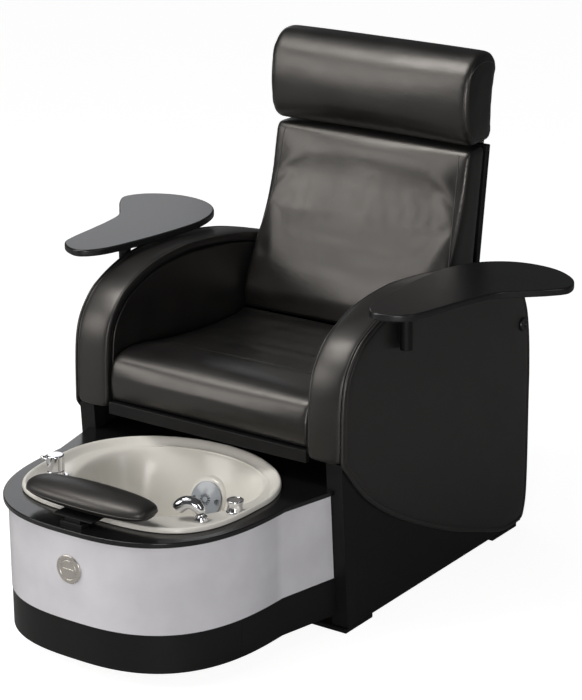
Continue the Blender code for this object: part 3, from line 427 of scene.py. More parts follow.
def lathe(name, profile, at, axis=(0, 0, 1), steps=None):
    """A profile of (radius, height) turned about an axis, closed at the ends."""
    steps = steps or sizes().round_steps
    turn = Vector(axis).to_track_quat("Z", "Y")
    rings = [circle(at, turn, max(radius, LEAST_RADIUS), height, steps) for radius, height in profile]
    return skinned(name, rings)


def rounded(points, radius=0.001, steps=3):
    """An open profile with its inner corners rounded off."""
    out = [points[0]]
    for before, here, after in zip(points, points[1:], points[2:]):
        b, h, a = Vector(before), Vector(here), Vector(after)
        reach = min(radius, (b - h).length * 0.45, (a - h).length * 0.45)
        start, end = h + (b - h).normalized() * reach, h + (a - h).normalized() * reach
        for i in range(steps + 1):
            t = i / steps
            out.append(tuple((1 - t) ** 2 * start + 2 * t * (1 - t) * h + t * t * end))
    return out + [points[-1]]


def smooth_line(points, per=6, closed=False):
    """Points on a Catmull-Rom curve through these points."""
    count = len(points)
    found = []
    for i in range(count if closed else count - 1):
        ids = [(i + k) % count if closed else min(max(i + k, 0), count - 1) for k in (-1, 0, 1, 2)]
        a, b, c, d = (Vector(points[k]) for k in ids)
        for step in range(per):
            t = step / per
            bend = (2 * a - 5 * b + 4 * c - d) + t * (3 * b - a - 3 * c + d)
            found.append(tuple(b + 0.5 * t * ((c - a) + t * bend)))
    return found if closed else found + [tuple(points[-1])]


def tube(name, path, radius, sides=10, closed=False):
    """A round cord of leather or metal along a path."""
    curve = bpy.data.curves.new(name, "CURVE")
    curve.dimensions = "3D"
    curve.bevel_depth = radius
    curve.bevel_resolution = sides // 4
    curve.use_fill_caps = True
    spline = curve.splines.new("POLY")
    spline.points.add(len(path) - 1)
    for point, spot in zip(spline.points, path):
        point.co = (*spot, 1)
    spline.use_cyclic_u = closed
    return as_mesh(bpy.data.objects.new(name, curve))


def flat_plate(name, outlines, low, high, edge):
    """A plate between two heights with rounded edges. The first outline is outside, the rest are holes."""
    curve = bpy.data.curves.new(name, "CURVE")
    curve.dimensions = "2D"
    curve.fill_mode = "BOTH"
    curve.extrude = (high - low) / 2 - edge
    curve.bevel_depth = edge
    curve.bevel_resolution = 3
    curve.offset = -edge
    for outline in outlines:
        spline = curve.splines.new("POLY")
        spline.points.add(len(outline) - 1)
        for point, (x, y) in zip(spline.points, outline):
            point.co = (x, y, 0, 1)
        spline.use_cyclic_u = True
    obj = bpy.data.objects.new(name, curve)
    obj.location.z = (low + high) / 2
    return as_mesh(obj)


def as_mesh(obj):
    """The object's final surface as a plain mesh object of the same name, in place."""
    if obj.name not in bpy.context.scene.collection.objects:
        bpy.context.scene.collection.objects.link(obj)
    bpy.context.view_layer.update()
    graph = bpy.context.evaluated_depsgraph_get()
    mesh = bpy.data.meshes.new_from_object(obj.evaluated_get(graph))
    mesh.transform(obj.matrix_world)
    name = obj.name
    bpy.data.objects.remove(obj, do_unlink=True)
    work = bmesh.new()
    work.from_mesh(mesh)
    bmesh.ops.remove_doubles(work, verts=work.verts, dist=0.00001)
    work.to_mesh(mesh)
    work.free()
    made = bpy.data.objects.new(name, mesh)
    bpy.context.scene.collection.objects.link(made)
    return made


def modified(obj, kind, **settings):
    step = obj.modifiers.new(kind.title(), kind)
    for key, value in settings.items():
        setattr(step, key, value)
    return obj


def softened(obj, levels=1):
    return modified(obj, "SUBSURF", levels=levels, render_levels=levels)


def edged(obj, width, angle, segments=2):
    return modified(
        obj, "BEVEL", width=width, segments=segments, limit_method="ANGLE", angle_limit=radians(angle)
    )


def cut(obj, cutter, operation="DIFFERENCE"):
    made = as_mesh(modified(obj, "BOOLEAN", object=cutter, operation=operation, solver="EXACT"))
    bpy.data.objects.remove(cutter, do_unlink=True)
    return made


def block(name, low, high):
    work = bmesh.new()
    bmesh.ops.create_cube(work, size=1)
    bmesh.ops.scale(work, vec=[b - a for a, b in zip(low, high)], verts=work.verts)
    bmesh.ops.translate(work, vec=[(a + b) / 2 for a, b in zip(low, high)], verts=work.verts)
    return mesh_object(name, work)


def extruded(name, outline, low, high, edge):
    """A (y, z) outline drawn out across X, with its end edges rounded."""
    work = bmesh.new()
    face = work.faces.new([work.verts.new((low, y, z)) for y, z in outline])
    grown = bmesh.ops.extrude_face_region(work, geom=[face])["geom"]
    moved = [item for item in grown if isinstance(item, bmesh.types.BMVert)]
    bmesh.ops.translate(work, vec=(high - low, 0, 0), verts=moved)
    return as_mesh(edged(mesh_object(name, work), edge, 50, 4))


def swelled(obj, cell, pressure, most, fits, calm):
    """Fills a cover with foam: it is meshed evenly, blown up as cloth, held to its room and smoothed."""
    obj = as_mesh(modified(obj, "REMESH", mode="VOXEL", voxel_size=cell))
    start = [vert.co.copy() for vert in obj.data.vertices]
    cloth = obj.modifiers.new("Cloth", "CLOTH")
    cloth.settings.uniform_pressure_force = pressure
    for key, value in CLOTH.items():
        setattr(cloth.settings, key, value)
    cloth.settings.effector_weights.gravity = 0
    cloth.point_cache.frame_start, cloth.point_cache.frame_end = 1, CLOTH_FRAMES
    scene = bpy.context.scene
    for number in range(1, CLOTH_FRAMES + 1):
        scene.frame_set(number)
    obj = as_mesh(obj)
    scene.frame_set(1)
    for vert, rest in zip(obj.data.vertices, start):
        move = vert.co - rest
        if move.length > most:
            vert.co = rest + move * (most / move.length)
    for vert in obj.data.vertices:
        fits(vert.co)
    modified(obj, "SMOOTH", factor=0.5, iterations=calm)
    obj = as_mesh(softened(obj))
    for vert in obj.data.vertices:
        fits(vert.co)
    return obj


def clamped(value, low, high):
    return max(low, min(high, value))


def surface_of(obj):
    work = bmesh.new()
    work.from_mesh(obj.data)
    tree = BVHTree.FromBMesh(work)
    work.free()
    return tree


def traced(tree, rays):
    """Where rays, each a start and a point to aim at, first meet a surface."""
    hits = [tree.ray_cast(start, (aim - start).normalized())[0] for start, aim in rays]
    return [tuple(hit) for hit in hits if hit]


def stitches(name, path, radius, gap=0.0016):
    """A row of stitches along a path."""
    work = bmesh.new()
    length = sizes().stitch_length
    spots = [Vector(spot) for spot in path]
    run = 0.0
    for one, two in zip(spots, spots[1:]):
        span = (two - one).length
        while run < span:
            end = min(run + length, span)
            a, b = one.lerp(two, run / span), one.lerp(two, end / span)
            if (b - a).length > length * 0.5:
                turn = (b - a).to_track_quat("Z", "Y").to_matrix().to_4x4()
                bmesh.ops.create_cone(
                    work, cap_ends=True, segments=6, radius1=radius, radius2=radius, depth=(b - a).length,
                    matrix=Matrix.Translation((a + b) / 2) @ turn,
                )
            run = end + gap
        run = max(run - span, 0.0)
    return mesh_object(name, work)


# ---- outlines
def bath_outline(out, start_y, count=70):
    """The plan of the bath, widened by out, from the right end round the front to the left end."""
    taper = (BATH_BASE_HALF - BATH_HALF) * start_y / BATH_SHOULDER
    right = [(BATH_BASE_HALF + out - taper, start_y)]
    power = 2 / BATH_ROUND
    for i in range(count + 1):
        turn = pi / 2 * i / count
        x = (BATH_HALF + out) * cos(turn) ** power if i < count else 0.0
        y = BATH_SHOULDER - (BATH_SHOULDER - BATH_FRONT + out) * sin(turn) ** power
        right.append((x, y))
    return right + [(-x, y) for x, y in reversed(right[:-1])]


def rim_ring(out, z, steps=96):
    ring = []
    for i in range(steps):
        c, s = cos(2 * pi * i / steps), sin(2 * pi * i / steps)
        power = 2 / RIM_ROUND if s < 0 else 1
        depth = RIM_FRONT if s < 0 else RIM_REAR
        x = (RIM_HALF + out) * (abs(c) ** power) * (1 if c > 0 else -1)
        y = RIM_CENTRE + (depth + out) * (abs(s) ** power) * (1 if s > 0 else -1)
        ring.append((x, y, z))
    return ring


def bowl_ring(half, front, rear, z, steps=96):
    ring = []
    for i in range(steps):
        turn = 2 * pi * i / steps
        depth = front if sin(turn) < 0 else rear
        ring.append((half * cos(turn), BOWL_CENTRE + depth * sin(turn), z))
    return ring


def raised(profile, per):
    """A profile of (depth, height over the deck) as a smooth line of (y, z)."""
    return smooth_line([(y, DECK_Z + rise) for y, rise in profile], per)


def back_plane(z, proud=0.0):
    """Depth of the leaning plane behind the upholstery, moved rearwards by proud."""
    return BACK_PLANE_Y + proud + BACK_LEAN * (z - BACK_PLANE_Z)


def moved_out(points, distance):
    """An open (y, z) outline moved to the left of its direction."""
    moved = []
    for i, point in enumerate(points):
        before = Vector(points[max(i - 1, 0)])
        after = Vector(points[min(i + 1, len(points) - 1)])
        along = (after - before).normalized()
        moved.append((point[0] - along.y * distance, point[1] + along.x * distance))
    return moved


def inset_round(points, distance):
    """A closed outline drawn in towards its inside. It runs clockwise."""
    moved = []
    for i, point in enumerate(points):
        along = (Vector(points[(i + 1) % len(points)]) - Vector(points[i - 1])).normalized()
        moved.append((point[0] + along.y * distance, point[1] - along.x * distance))
    return moved


def base_front(z):
    return 0.039 - 0.059 * z


# ---- pieces
class CHAIR_OT_arms(bpy.types.Operator):
    """Arm pads with their welts, the arm cores and the padded outer covers"""

    bl_idname = "chair.arms"
    bl_label = "Arms"

    def execute(self, context):
        line = raised(ARM_PROFILE, 6)
        width = ARM_OUTER - ARM_INNER
        crown = sizes().arm_crown
        section = [
            (0, -0.030), (0, -0.013), (0.0010, -0.0065), (0.0040, -0.0020), (0.0095, 0),
            (0.025, crown * 0.65), (width / 2, crown), (width - 0.025, crown * 0.65),
            (width - 0.0095, 0), (width - 0.0040, -0.0020), (width - 0.0010, -0.0065), (width, -0.013),
            (width, -0.030),
        ]
        for side, sign in SIDES:
            rows = [moved_out(line, out) for _, out in section]
            band = softened(skinned(f"arm_band_{side}", [
                [
                    (sign * (ARM_INNER + across), row[i][0], max(row[i][1], DECK_Z))
                    for (across, _), row in zip(section, rows)
                ]
                for i in range(len(line))
            ]))
            finished(band, "black_leather_tight", "chair", [f"arm_pad_{side}"])
            for edge, across in (("inner", 0.0035), ("outer", width - 0.0035)):
                low_line = [(y, z) for y, z in moved_out(line, -0.0028) if z > DECK_Z + 0.001]
                path = [(sign * (ARM_INNER + across), y, z) for y, z in low_line]
                welt = tube(f"arm_welt_{edge}_{side}", path, sizes().piping_radius)
                finished(welt, "leather_welt", "chair")
            core_line = [(y, max(z, DECK_Z + 0.0003)) for y, z in moved_out(line, -0.0303)]
            ends = sorted((sign * (ARM_INNER + 0.0015), sign * ARM_OUTER))
            core = extruded(f"arm_core_{side}", core_line, *ends, 0.003)
            finished(core, "black_leather_tight", "chair", [f"arm_box_{side}"], 40)
            self.cover(side, sign)
        return {"FINISHED"}

    def cover(self, side, sign):
        """The padded cover on the outside of an arm, with its sewn border."""
        upper = [(y, DECK_Z + rise) for y, rise in ARM_PROFILE]
        lower = [(y, DECK_Z * part) for y, part in SHIELD_LOWER]
        outline = smooth_line([*upper, *lower, upper[0]], 6)[:-1]
        foot = ARM_OUTER + 0.0003
        thick = SHIELD_OUT - foot
        crown = sizes().shield_crown
        rings = []
        for away, rise in (
            (0.0060, 0), (0.0010, 0.0004), (0, 0.0030), (0.0006, 0.0058), (0.0028, 0.0082), (0.0060, 0.0094),
            (0.0100, 0.0092), (0.0128, 0.0074), (0.0140, 0.0058), (0.0152, 0.0074), (0.0180, 0.0094),
        ):
            rings.append([(sign * (foot + rise), y, z) for y, z in inset_round(outline, away)])
        last, (middle_y, middle_z) = inset_round(outline, 0.018), (0.500, 0.500)
        for part in (0.08, 0.2, 0.4, 0.65, 0.9):
            rise = min(thick + 0.0055, 0.0098 + crown * (1 - (1 - part) ** 2))
            rings.append([
                (sign * (foot + rise), y + (middle_y - y) * part, z + (middle_z - z) * part) for y, z in last
            ])
        cover = softened(skinned(f"side_cover_{side}", rings))
        finished(cover, "black_leather_tight", "chair", [f"side_shield_{side}"])
        low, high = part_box(f"bolt_cap_{side}")
        face = sign * (min(abs(low.x), abs(high.x)) + 0.0002)
        cap = lathe(f"bolt_ring_{side}", rounded([
            (0, 0.0010), (0.0075, 0.0010), (0.0085, 0.0030), (0.0180, 0.0032), (0.0200, 0), (0, 0),
        ], 0.0008), (face, (low.y + high.y) / 2, (low.z + high.z) / 2), (sign, 0, 0))
        finished(cap, "tray_laminate", "chair", [f"bolt_cap_{side}"], 40)


class CHAIR_OT_seat(bpy.types.Operator):
    """Seat cushion with its stitched cross seam"""

    bl_idname = "chair.seat"
    bl_label = "Seat cushion"

    def execute(self, context):
        half = SEAT_HIGH.x - 0.001
        outline = [*raised(SEAT_FACE, 4), (0.603, SEAT_LOW.z + 0.001), (0.018, SEAT_LOW.z + 0.001)]
        flat = extruded("seat_pad", outline, -half, half, 0.018)

        def fits(spot):
            spot.x = clamped(spot.x, -CUSHION_HALF, CUSHION_HALF)
            spot.z = max(SEAT_LOW.z, spot.z)
            spot.y = clamped(spot.y, 0.0075, 0.606)

        pad = swelled(flat, 0.006, 0.6, sizes().seat_swell, fits, calm=14)
        for vert in pad.data.vertices:
            if vert.co.z > SEAT_LOW.z + 0.06:
                away = (vert.co.y - SEAT_SEAM) / 0.0045
                vert.co.z -= 0.0032 * 2.718 ** (-away * away)
        finished(pad, "black_leather_soft", "seat", ["seat_cushion"])
        tree = surface_of(pad)
        path = []
        for i in range(161):
            x = -0.304 + 0.608 * i / 160
            hit = tree.ray_cast(Vector((x, SEAT_SEAM, 0.9)), Vector((0, 0, -1)))[0]
            if hit:
                path.append(hit + Vector((0, 0, 0.0003)))
        row = stitches("seat_stitching", path, 0.0009)
        finished(row, "thread", "seat")
        return {"FINISHED"}


class CHAIR_OT_back(bpy.types.Operator):
    """Back cushion with its side welts"""

    bl_idname = "chair.back"
    bl_label = "Back cushion"

    def execute(self, context):
        half = BACK_HIGH.x - 0.001
        top, bottom = BACK_HIGH.z, BACK_LOW.z - 0.007

        def rear(z):
            return back_plane(z, -0.0205)

        outline = [*raised(BACK_FACE, 4), (rear(top), top - 0.001), (rear(bottom), bottom)]
        flat = extruded("back_pad", outline, -half, half, 0.024)

        def fits(spot):
            spot.x = clamped(spot.x, -CUSHION_HALF, CUSHION_HALF)
            spot.z = clamped(spot.z, bottom + 0.0005, top + 0.004)
            spot.y = min(rear(spot.z), spot.y)

        pad = swelled(flat, 0.006, 0.7, sizes().back_swell, fits, calm=14)
        finished(pad, "black_leather_soft", "back", ["back_cushion"])
        tree = surface_of(pad)
        for side, sign in SIDES:
            heights = [bottom + 0.025 + (top - bottom - 0.040) * i / 80 for i in range(81)]
            path = traced(tree, [
                (Vector((sign * 0.42, rear(z) - 0.34, z)), Vector((sign * 0.270, rear(z) - 0.060, z)))
                for z in heights
            ])
            welt = tube(f"back_welt_{side}", smooth_line(path[::4], 4), 0.0015)
            finished(welt, "leather_welt", "back")
        return {"FINISHED"}


class CHAIR_OT_headrest(bpy.types.Operator):
    """Headrest pillow, its end seams and the flap that holds it"""

    bl_idname = "chair.headrest"
    bl_label = "Headrest"

    def execute(self, context):
        half = PILLOW_HIGH.x - 0.001

        def rear(z):
            return back_plane(z, -0.001)

        face = raised(PILLOW_FACE, 4)
        shoulder = face[-1][1] - 0.026
        low = PILLOW_LOW.z + 0.003
        outline = [*face, (rear(shoulder) - 0.003, shoulder), (rear(low), low)]
        flat = extruded("headrest_pad", outline, -half, half, 0.022)

        def fits(spot):
            spot.x = clamped(spot.x, -PILLOW_HIGH.x - 0.002, PILLOW_HIGH.x + 0.002)
            spot.z = max(PILLOW_LOW.z + 0.0005, spot.z)
            spot.y = min(rear(spot.z) + 0.0005, spot.y)

        pad = swelled(flat, 0.0055, 1.2, sizes().pillow_swell, fits, calm=12)
        finished(pad, "black_leather_soft", "head", ["head_pillow"])
        tree = surface_of(pad)
        middle = Vector((0, 0.822, DECK_Z + 0.748))
        for side, sign in SIDES:
            outside, inside = (Vector((sign * x, 0, 0)) for x in (PILLOW_HIGH.x + 0.10, 0.270))
            turns = [2 * pi * i / 72 for i in range(72)]
            ways = [Vector((0, cos(turn) * 0.3, sin(turn) * 0.3)) for turn in turns]
            path = traced(tree, [(middle + away + outside, middle + away * 0.02 + inside) for away in ways])
            seam = tube(f"headrest_seam_{side}", path, 0.0013, closed=True)
            finished(seam, "leather_welt", "head")
        low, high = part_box("head_flap")
        foot, head = back_plane(low.z, 0.0003), back_plane(high.z, 0.0003)
        outline = [(foot, low.z), (foot + 0.006, low.z), (head + 0.006, high.z), (head, high.z)]
        flap = extruded("headrest_flap", outline, low.x, high.x, 0.0018)
        finished(flap, "black_leather_tight", "head", ["head_flap"], 50)
        return {"FINISHED"}


class CHAIR_OT_footrest(bpy.types.Operator):
    """Footrest pad over the front of the bath"""

    bl_idname = "chair.footrest"
    bl_label = "Footrest pad"

    def execute(self, context):
        middle = (PAD_LOW + PAD_HIGH) / 2
        length, width = 0.186, PAD_HIGH.y - middle.y + 0.001
        flat_end = 0.48  # the lower, the squarer the ends in plan
        rings = []
        for i in range(34):
            turn = pi * (i + 0.5) / 34
            squeeze = sin(turn) ** flat_end
            ring = []
            for k in range(40):
                c, s = cos(2 * pi * k / 40), sin(2 * pi * k / 40)
                lift = 0.0295 * (abs(s) ** 0.88) * (1 if s > 0 else -1)
                ring.append((-length * cos(turn), middle.y + width * squeeze * c, middle.z + lift * squeeze))
            rings.append(ring)
        pad = skinned("footrest_cushion", rings)
        for vert in pad.data.vertices:
            vert.co.z = max(PAD_LOW.z, vert.co.z)
        softened(pad)
        finished(pad, "black_leather_tight", "footrest", ["footrest_pad"])
        path = []
        for i in range(96):
            turn = 2 * pi * i / 96
            squeeze = max(abs(sin(turn)), 0.0001) ** flat_end * (1 if sin(turn) > 0 else -1)
            across = middle.y + (width + 0.0002) * squeeze
            path.append((-(length - 0.0008) * cos(turn), across, middle.z - 0.004))
        welt = tube("footrest_welt", path, 0.0014, closed=True)
        finished(welt, "leather_welt", "footrest")
        return {"FINISHED"}


class CHAIR_OT_bath(bpy.types.Operator):
    """Bath skins, surround, badge and bowl"""

    bl_idname = "chair.bath"
    bl_label = "Foot bath"

    def execute(self, context):
        self.skins()
        self.surround()
        self.bowl()
        return {"FINISHED"}

    def strip(self, name, outline, low, high):
        """A skin that stands on an outline and ends at the front of the base."""
        if outline[0][0] > 0:
            outline = outline[::-1]
        work = bmesh.new()
        bottom = [work.verts.new((x, y, low)) for x, y in outline]
        top = [work.verts.new((x, y, high)) for x, y in outline]
        for i in range(len(outline) - 1):
            work.faces.new((bottom[i], bottom[i + 1], top[i + 1], top[i]))
        for vert in work.verts:
            if vert.co.y > 0:
                vert.co.y = base_front(vert.co.z) - 0.002
        work.normal_update()
        mesh = bpy.data.meshes.new(name)
        work.to_mesh(mesh)
        work.free()
        obj = bpy.data.objects.new(name, mesh)
        bpy.context.scene.collection.objects.link(obj)
        return edged(modified(obj, "SOLIDIFY", thickness=0.006, offset=-1), 0.0008, 60)

    def skins(self):
        high, low = FASCIA_HIGH.z, FASCIA_LOW.z
        fascia = self.strip("bath_front", bath_outline(0, base_front(high) - 0.002), low, high)
        finished(fascia, "white_gloss_skin", "chair", ["fascia"], 40)
        kick = bath_outline(-0.001, base_front(KICK_HIGH.z) - 0.002)
        part = (KICK_SEAM - BATH_SHOULDER) / (BATH_FRONT - BATH_SHOULDER)
        x_seam = BATH_HALF * (1 - part ** BATH_ROUND) ** (1 / BATH_ROUND) - 0.001
        middle = [(x, y) for x, y in kick if y < KICK_SEAM - 0.001]
        front = [(x_seam, KICK_SEAM - 0.0003), *middle, (-x_seam, KICK_SEAM - 0.0003)]
        piece = self.strip("toe_board_front", front, KICK_LOW.z, KICK_HIGH.z)
        finished(piece, "satin_board", "chair", ["kick_front"], 40)
        for side, sign in SIDES:
            line = [(sign * x, y) for x, y in kick[: len(kick) // 2] if y > KICK_SEAM + 0.001]
            line.append((sign * x_seam, KICK_SEAM + 0.0003))
            piece = self.strip(f"toe_board_{side}", line, KICK_LOW.z, KICK_HIGH.z)
            finished(piece, "satin_board", "chair", [f"kick_{side}"], 40)
        low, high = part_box("badge")
        spot = (0, high.y, (low.z + high.z) / 2)
        disc = [
            (0, 0.0026), (0.0225, 0.0026), (0.0232, 0.0018), (0.0262, 0.0018), (0.0269, 0.0030),
            (0.0350, 0.0030), (0.0368, 0.0018), (0.0370, 0), (0, 0),
        ]
        badge = lathe("badge_disc", rounded(disc, 0.0006), spot, (0, -1, 0), 96)
        finished(badge, "brushed_nickel", "chair", ["badge"], 40)
        _, y, z = spot
        bar = block("badge_bar", (-0.0165, y - 0.0034, z - 0.0022), (0.0165, y - 0.0022, z + 0.0022))
        modified(bar, "BEVEL", width=0.0006, segments=2)
        finished(bar, "brushed_nickel", "chair", (), 40)

    def surround(self):
        low, high = SURROUND_LOW.z, SURROUND_HIGH.z
        edge = base_front(high) - 0.0008
        outer = bath_outline(0.011, edge)
        half = SHELF_TAIL_HALF
        tail = [(-half, edge), (-half, SHELF_REAR), (half, SHELF_REAR), (half, edge)]
        hole = [(x, y) for x, y, _ in rim_ring(-0.0115, 0)]
        shelf = flat_plate("bath_shelf", [outer + tail, hole], low, high, 0.0022)
        low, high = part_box("footrest_guide")
        shelf = cut(shelf, block(
            "slot_cutter", (low.x - 0.0004, low.y - 0.0004, SURROUND_LOW.z - 0.01),
            (high.x + 0.0004, high.y + 0.0004, SURROUND_HIGH.z + 0.01),
        ))
        finished(shelf, "shelf_gloss", "chair", ["surround"], 35)

    def bowl(self):
        top = SURROUND_HIGH.z + 0.0003
        wide = RIM_HALF - 0.064
        rise = top - 0.008 - BOWL_FLOOR
        inside = [
            (0.240, 0.010, 0.008, -0.004), (0.150, 0.090, 0.070, 0), (0.100, 0.135, 0.105, 0.018),
            (0.055, 0.175, 0.130, 0.228), (0.028, 0.208, 0.162, 0.616), (0.012, 0.226, 0.186, 0.899),
            (0.003, 0.233, 0.197, 0.985),
        ]
        rings = [
            bowl_ring(wide - less, front, rear, BOWL_FLOOR + part * rise)
            for less, front, rear, part in inside
        ]
        rings.append(bowl_ring(wide + 0.006, 0.242, 0.204, top - 0.0062))
        # The lip, from the top of the wall over its crest to its underside.
        rings += [rim_ring(out, z) for out, z in (
            (-0.034, top - BOWL_WALL + 0.0014), (-0.0275, top - BOWL_WALL + 0.0028),
            (-0.0225, top - BOWL_WALL + 0.0065), (-0.0180, top + 0.0048),
            (-0.0135, top + RIM_RISE - 0.0044), (-0.0090, top + RIM_RISE - 0.0010),
            (-0.0045, top + RIM_RISE - 0.0002), (-0.0010, top + RIM_RISE - 0.0035), (0, top + 0.003),
            (-0.0006, top), (-0.0140, top), (-0.0165, top - 0.022),
        )]
        for less, front, rear, part in reversed(inside[1:-1]):
            out, z = BOWL_WALL + 0.003, BOWL_FLOOR - 0.005 + part * rise
            rings.append(bowl_ring(wide - less + out, front + out, rear + out, z))
        rings.append(bowl_ring(wide - 0.150, 0.090, 0.070, BOWL_FLOOR - 0.009))
        bowl = as_mesh(softened(skinned("foot_bowl", rings), 2))
        for name, radius, high, low, place in (
            ("jet_cutter", 0.036, 0.03, -0.03, (JET_AT, JET_AXIS)),
            ("drain_cutter", 0.024, 0.19, 0.14, ((*DRAIN, 0),)),
        ):
            bowl = cut(bowl, lathe(name, [(0, high), (radius, high), (radius, low), (0, low)], *place))
        finished(bowl, "acrylic", "chair", ["bowl"], 40)
        collar = lathe("jet_collar", rounded([
            (0.0365, -0.004), (0.0365, 0.0095), (0.0505, 0.0100), (0.0560, 0.0070), (0.0640, -0.0010),
            (0.0640, -0.004), (0.0365, -0.004),
        ], 0.004, 5), JET_AT, JET_AXIS)
        finished(collar, "acrylic", "chair", (), 50)


class CHAIR_OT_jet(bpy.types.Operator):
    """Jet cover with its slots and outlets"""

    bl_idname = "chair.jet"
    bl_label = "Jet"

    def execute(self, context):
        low = 0.0131
        dome = lathe("jet_dome", [
            (0, low + 0.0052), (0.010, low + 0.0052), (0.020, low + 0.0048), (0.030, low + 0.0038),
            (0.038, low + 0.0028), (0.044, low + 0.0018), (0.0475, low + 0.0008), (0.0480, low), (0, low),
        ], JET_AT, JET_AXIS, 96)
        turn = JET_AXIS.to_track_quat("Z", "Y").to_matrix().to_4x4()
        tools = bmesh.new()
        for i in range(14):
            spin = Matrix.Rotation(2 * pi * i / 14, 4, "Z")
            place = Matrix.Translation(JET_AT) @ turn @ spin @ Matrix.Translation((0.0118, 0, low))
            bmesh.ops.create_cube(tools, size=1, matrix=place @ Matrix.Diagonal((0.0088, 0.0030, 0.02, 1)))
        cutter = mesh_object("jet_slots", tools)
        dome = cut(dome, cutter)
        across = turn.to_3x3() @ Vector((1, 0, 0))
        if across.x < 0:
            across = -across
        for name, reach, radius in (("outlet", 0.0365, 0.0072), ("air_port", -0.036, 0.0034)):
            spot = JET_AT + across * reach
            hole = [(0, 0.03), (radius, 0.03), (radius, 0.0135), (0, 0.0135)]
            dome = cut(dome, lathe(f"{name}_cutter", hole, spot, JET_AXIS, 32))
            ring = lathe(f"jet_{name}", rounded([(radius + out, low + up) for out, up in (
                (0.0002, 0.0010), (0.0002, 0.0042), (0.0014, 0.0042), (0.0018, 0.0020), (0.0018, 0.0010),
                (0.0002, 0.0010),
            )], 0.0004), spot, JET_AXIS, 32)
            finished(ring, "jet_plastic", "chair", (), 50)
        finished(dome, "jet_plastic", "chair", ["jet_cover"], 40)
        return {"FINISHED"}


class CHAIR_OT_fittings(bpy.types.Operator):
    """Tap, sprayer, drain knob and drain"""

    bl_idname = "chair.fittings"
    bl_label = "Bath fittings"

    def execute(self, context):
        self.tap()
        self.sprayer()
        at = (*KNOB, DECK_TOP)
        self.turned("knob_foot", "knob_base", "chair", at, 0.0008, 35, [
            (0, 0.004), (0.0215, 0.004), (0.0235, 0.002), (0.0235, 0), (0, 0),
        ])
        self.turned("drain_handle", "drain_knob", "drain_knob", at, 0.0014, 45, [
            (0, 0.0310), (0.0165, 0.0310), (0.0175, 0.0325), (0.0205, 0.0325), (0.0215, 0.0300),
            (0.0212, 0.0270), (0.0190, 0.0215), (0.0188, 0.0150), (0.0205, 0.0085), (0.0215, 0.0055),
            (0.0213, 0.0045), (0, 0.0045),
        ])
        at = (*DRAIN, 0)
        self.turned("drain_cup", "drain_body", "chair", at, 0.0005, 40, [
            (0, 0.150), (0.017, 0.150), (0.020, 0.1662), (0.0295, 0.1668), (0.030, 0.1653),
            (0.0232, 0.1653), (0.0230, 0.110), (0, 0.110),
        ])
        self.turned("drain_plug", "drain_stopper", "drain_stopper", at, 0.001, 40, [
            (0, 0.1710), (0.012, 0.1705), (0.0205, 0.1688), (0.0225, 0.1670), (0.012, 0.1655),
            (0.012, 0.1506), (0, 0.1506),
        ])
        return {"FINISHED"}

    def turned(self, name, node, body, at, corner, angle, profile):
        """A plated piece turned from a profile of (radius, height)."""
        finished(lathe(name, rounded(profile, corner), at), "polished_chrome", body, [node], angle)

    def tap(self):
        x, y = TAP
        base = (x, y, DECK_TOP)
        self.turned("tap_base", "tap_body", "chair", base, 0.0012, 35, [
            (0, 0.020), (0.0212, 0.020), (0.0225, 0.0185), (0.0225, 0.0055), (0.0318, 0.0046),
            (0.0330, 0.0030), (0.0330, 0), (0, 0),
        ])
        cap = lathe("tap_head", rounded([
            (0, 0.0620), (0.0205, 0.0615), (0.0225, 0.0590), (0.0225, 0.0205), (0, 0.0205),
        ], 0.0015), base)
        z = DECK_TOP + 0.041
        slot = block("lever_slot", (x - 0.0245, y - 0.004, z - 0.004), (x - 0.0115, y + 0.004, z + 0.009))
        finished(cut(cap, slot), "polished_chrome", "tap_cap", ["tap_cap"], 35)
        pivot = Vector((x - 0.0165, y, z))
        tip = pivot + Vector((-0.026, 0, 0.002))
        path = [pivot + (tip - pivot) * (i / 8) for i in range(9)]
        lever = tube("tap_handle", path, 0.0028, 16)
        work = bmesh.new()
        ball_at = Matrix.Translation(tip)
        bmesh.ops.create_uvsphere(work, u_segments=32, v_segments=20, radius=0.006, matrix=ball_at)
        lever = cut(lever, mesh_object("lever_ball", work), "UNION")
        finished(lever, "polished_chrome", "tap_lever", ["tap_lever"], 50)

    def sprayer(self):
        x, y = SPRAYER
        self.turned("sprayer_cup", "sprayer_socket", "chair", (x, y, DECK_TOP), 0.0008, 35, [
            (0, 0.003), (0.012, 0.003), (0.012, 0.010), (0.0150, 0.010), (0.0180, 0.0015), (0.0180, 0),
            (0, 0),
        ])
        # How far inboard, how high and how thick the horn is along its bend. The last rings are its face.
        bends = [
            (0, 0.0045, 0.0112), (0, 0.010, 0.0115), (0, 0.017, 0.0122), (0.004, 0.029, 0.0142),
            (0.015, 0.040, 0.0160), (0.029, 0.0440, 0.0172), (0.043, 0.039, 0.0178), (0.052, 0.030, 0.0180),
            (0.0555, 0.0245, 0.0168), (0.0565, 0.0230, 0.0140), (0.0560, 0.0238, 0.0124),
            (0.0545, 0.0262, 0.0030),
        ]
        rings = []
        spots = [Vector((x - inboard, y - inboard * 0.35, DECK_TOP + rise)) for inboard, rise, _ in bends]
        last = (spots[8] - spots[7]).normalized()
        for i, spot in enumerate(spots):
            along = last if i > 7 else (spots[min(i + 1, 8)] - spots[max(i - 1, 0)]).normalized()
            rings.append(circle(spot, along.to_track_quat("Z", "Y"), bends[i][2], 0, 32))
        horn = softened(skinned("sprayer_head", rings), 2)
        finished(horn, "polished_chrome", "sprayer", ["sprayer"])


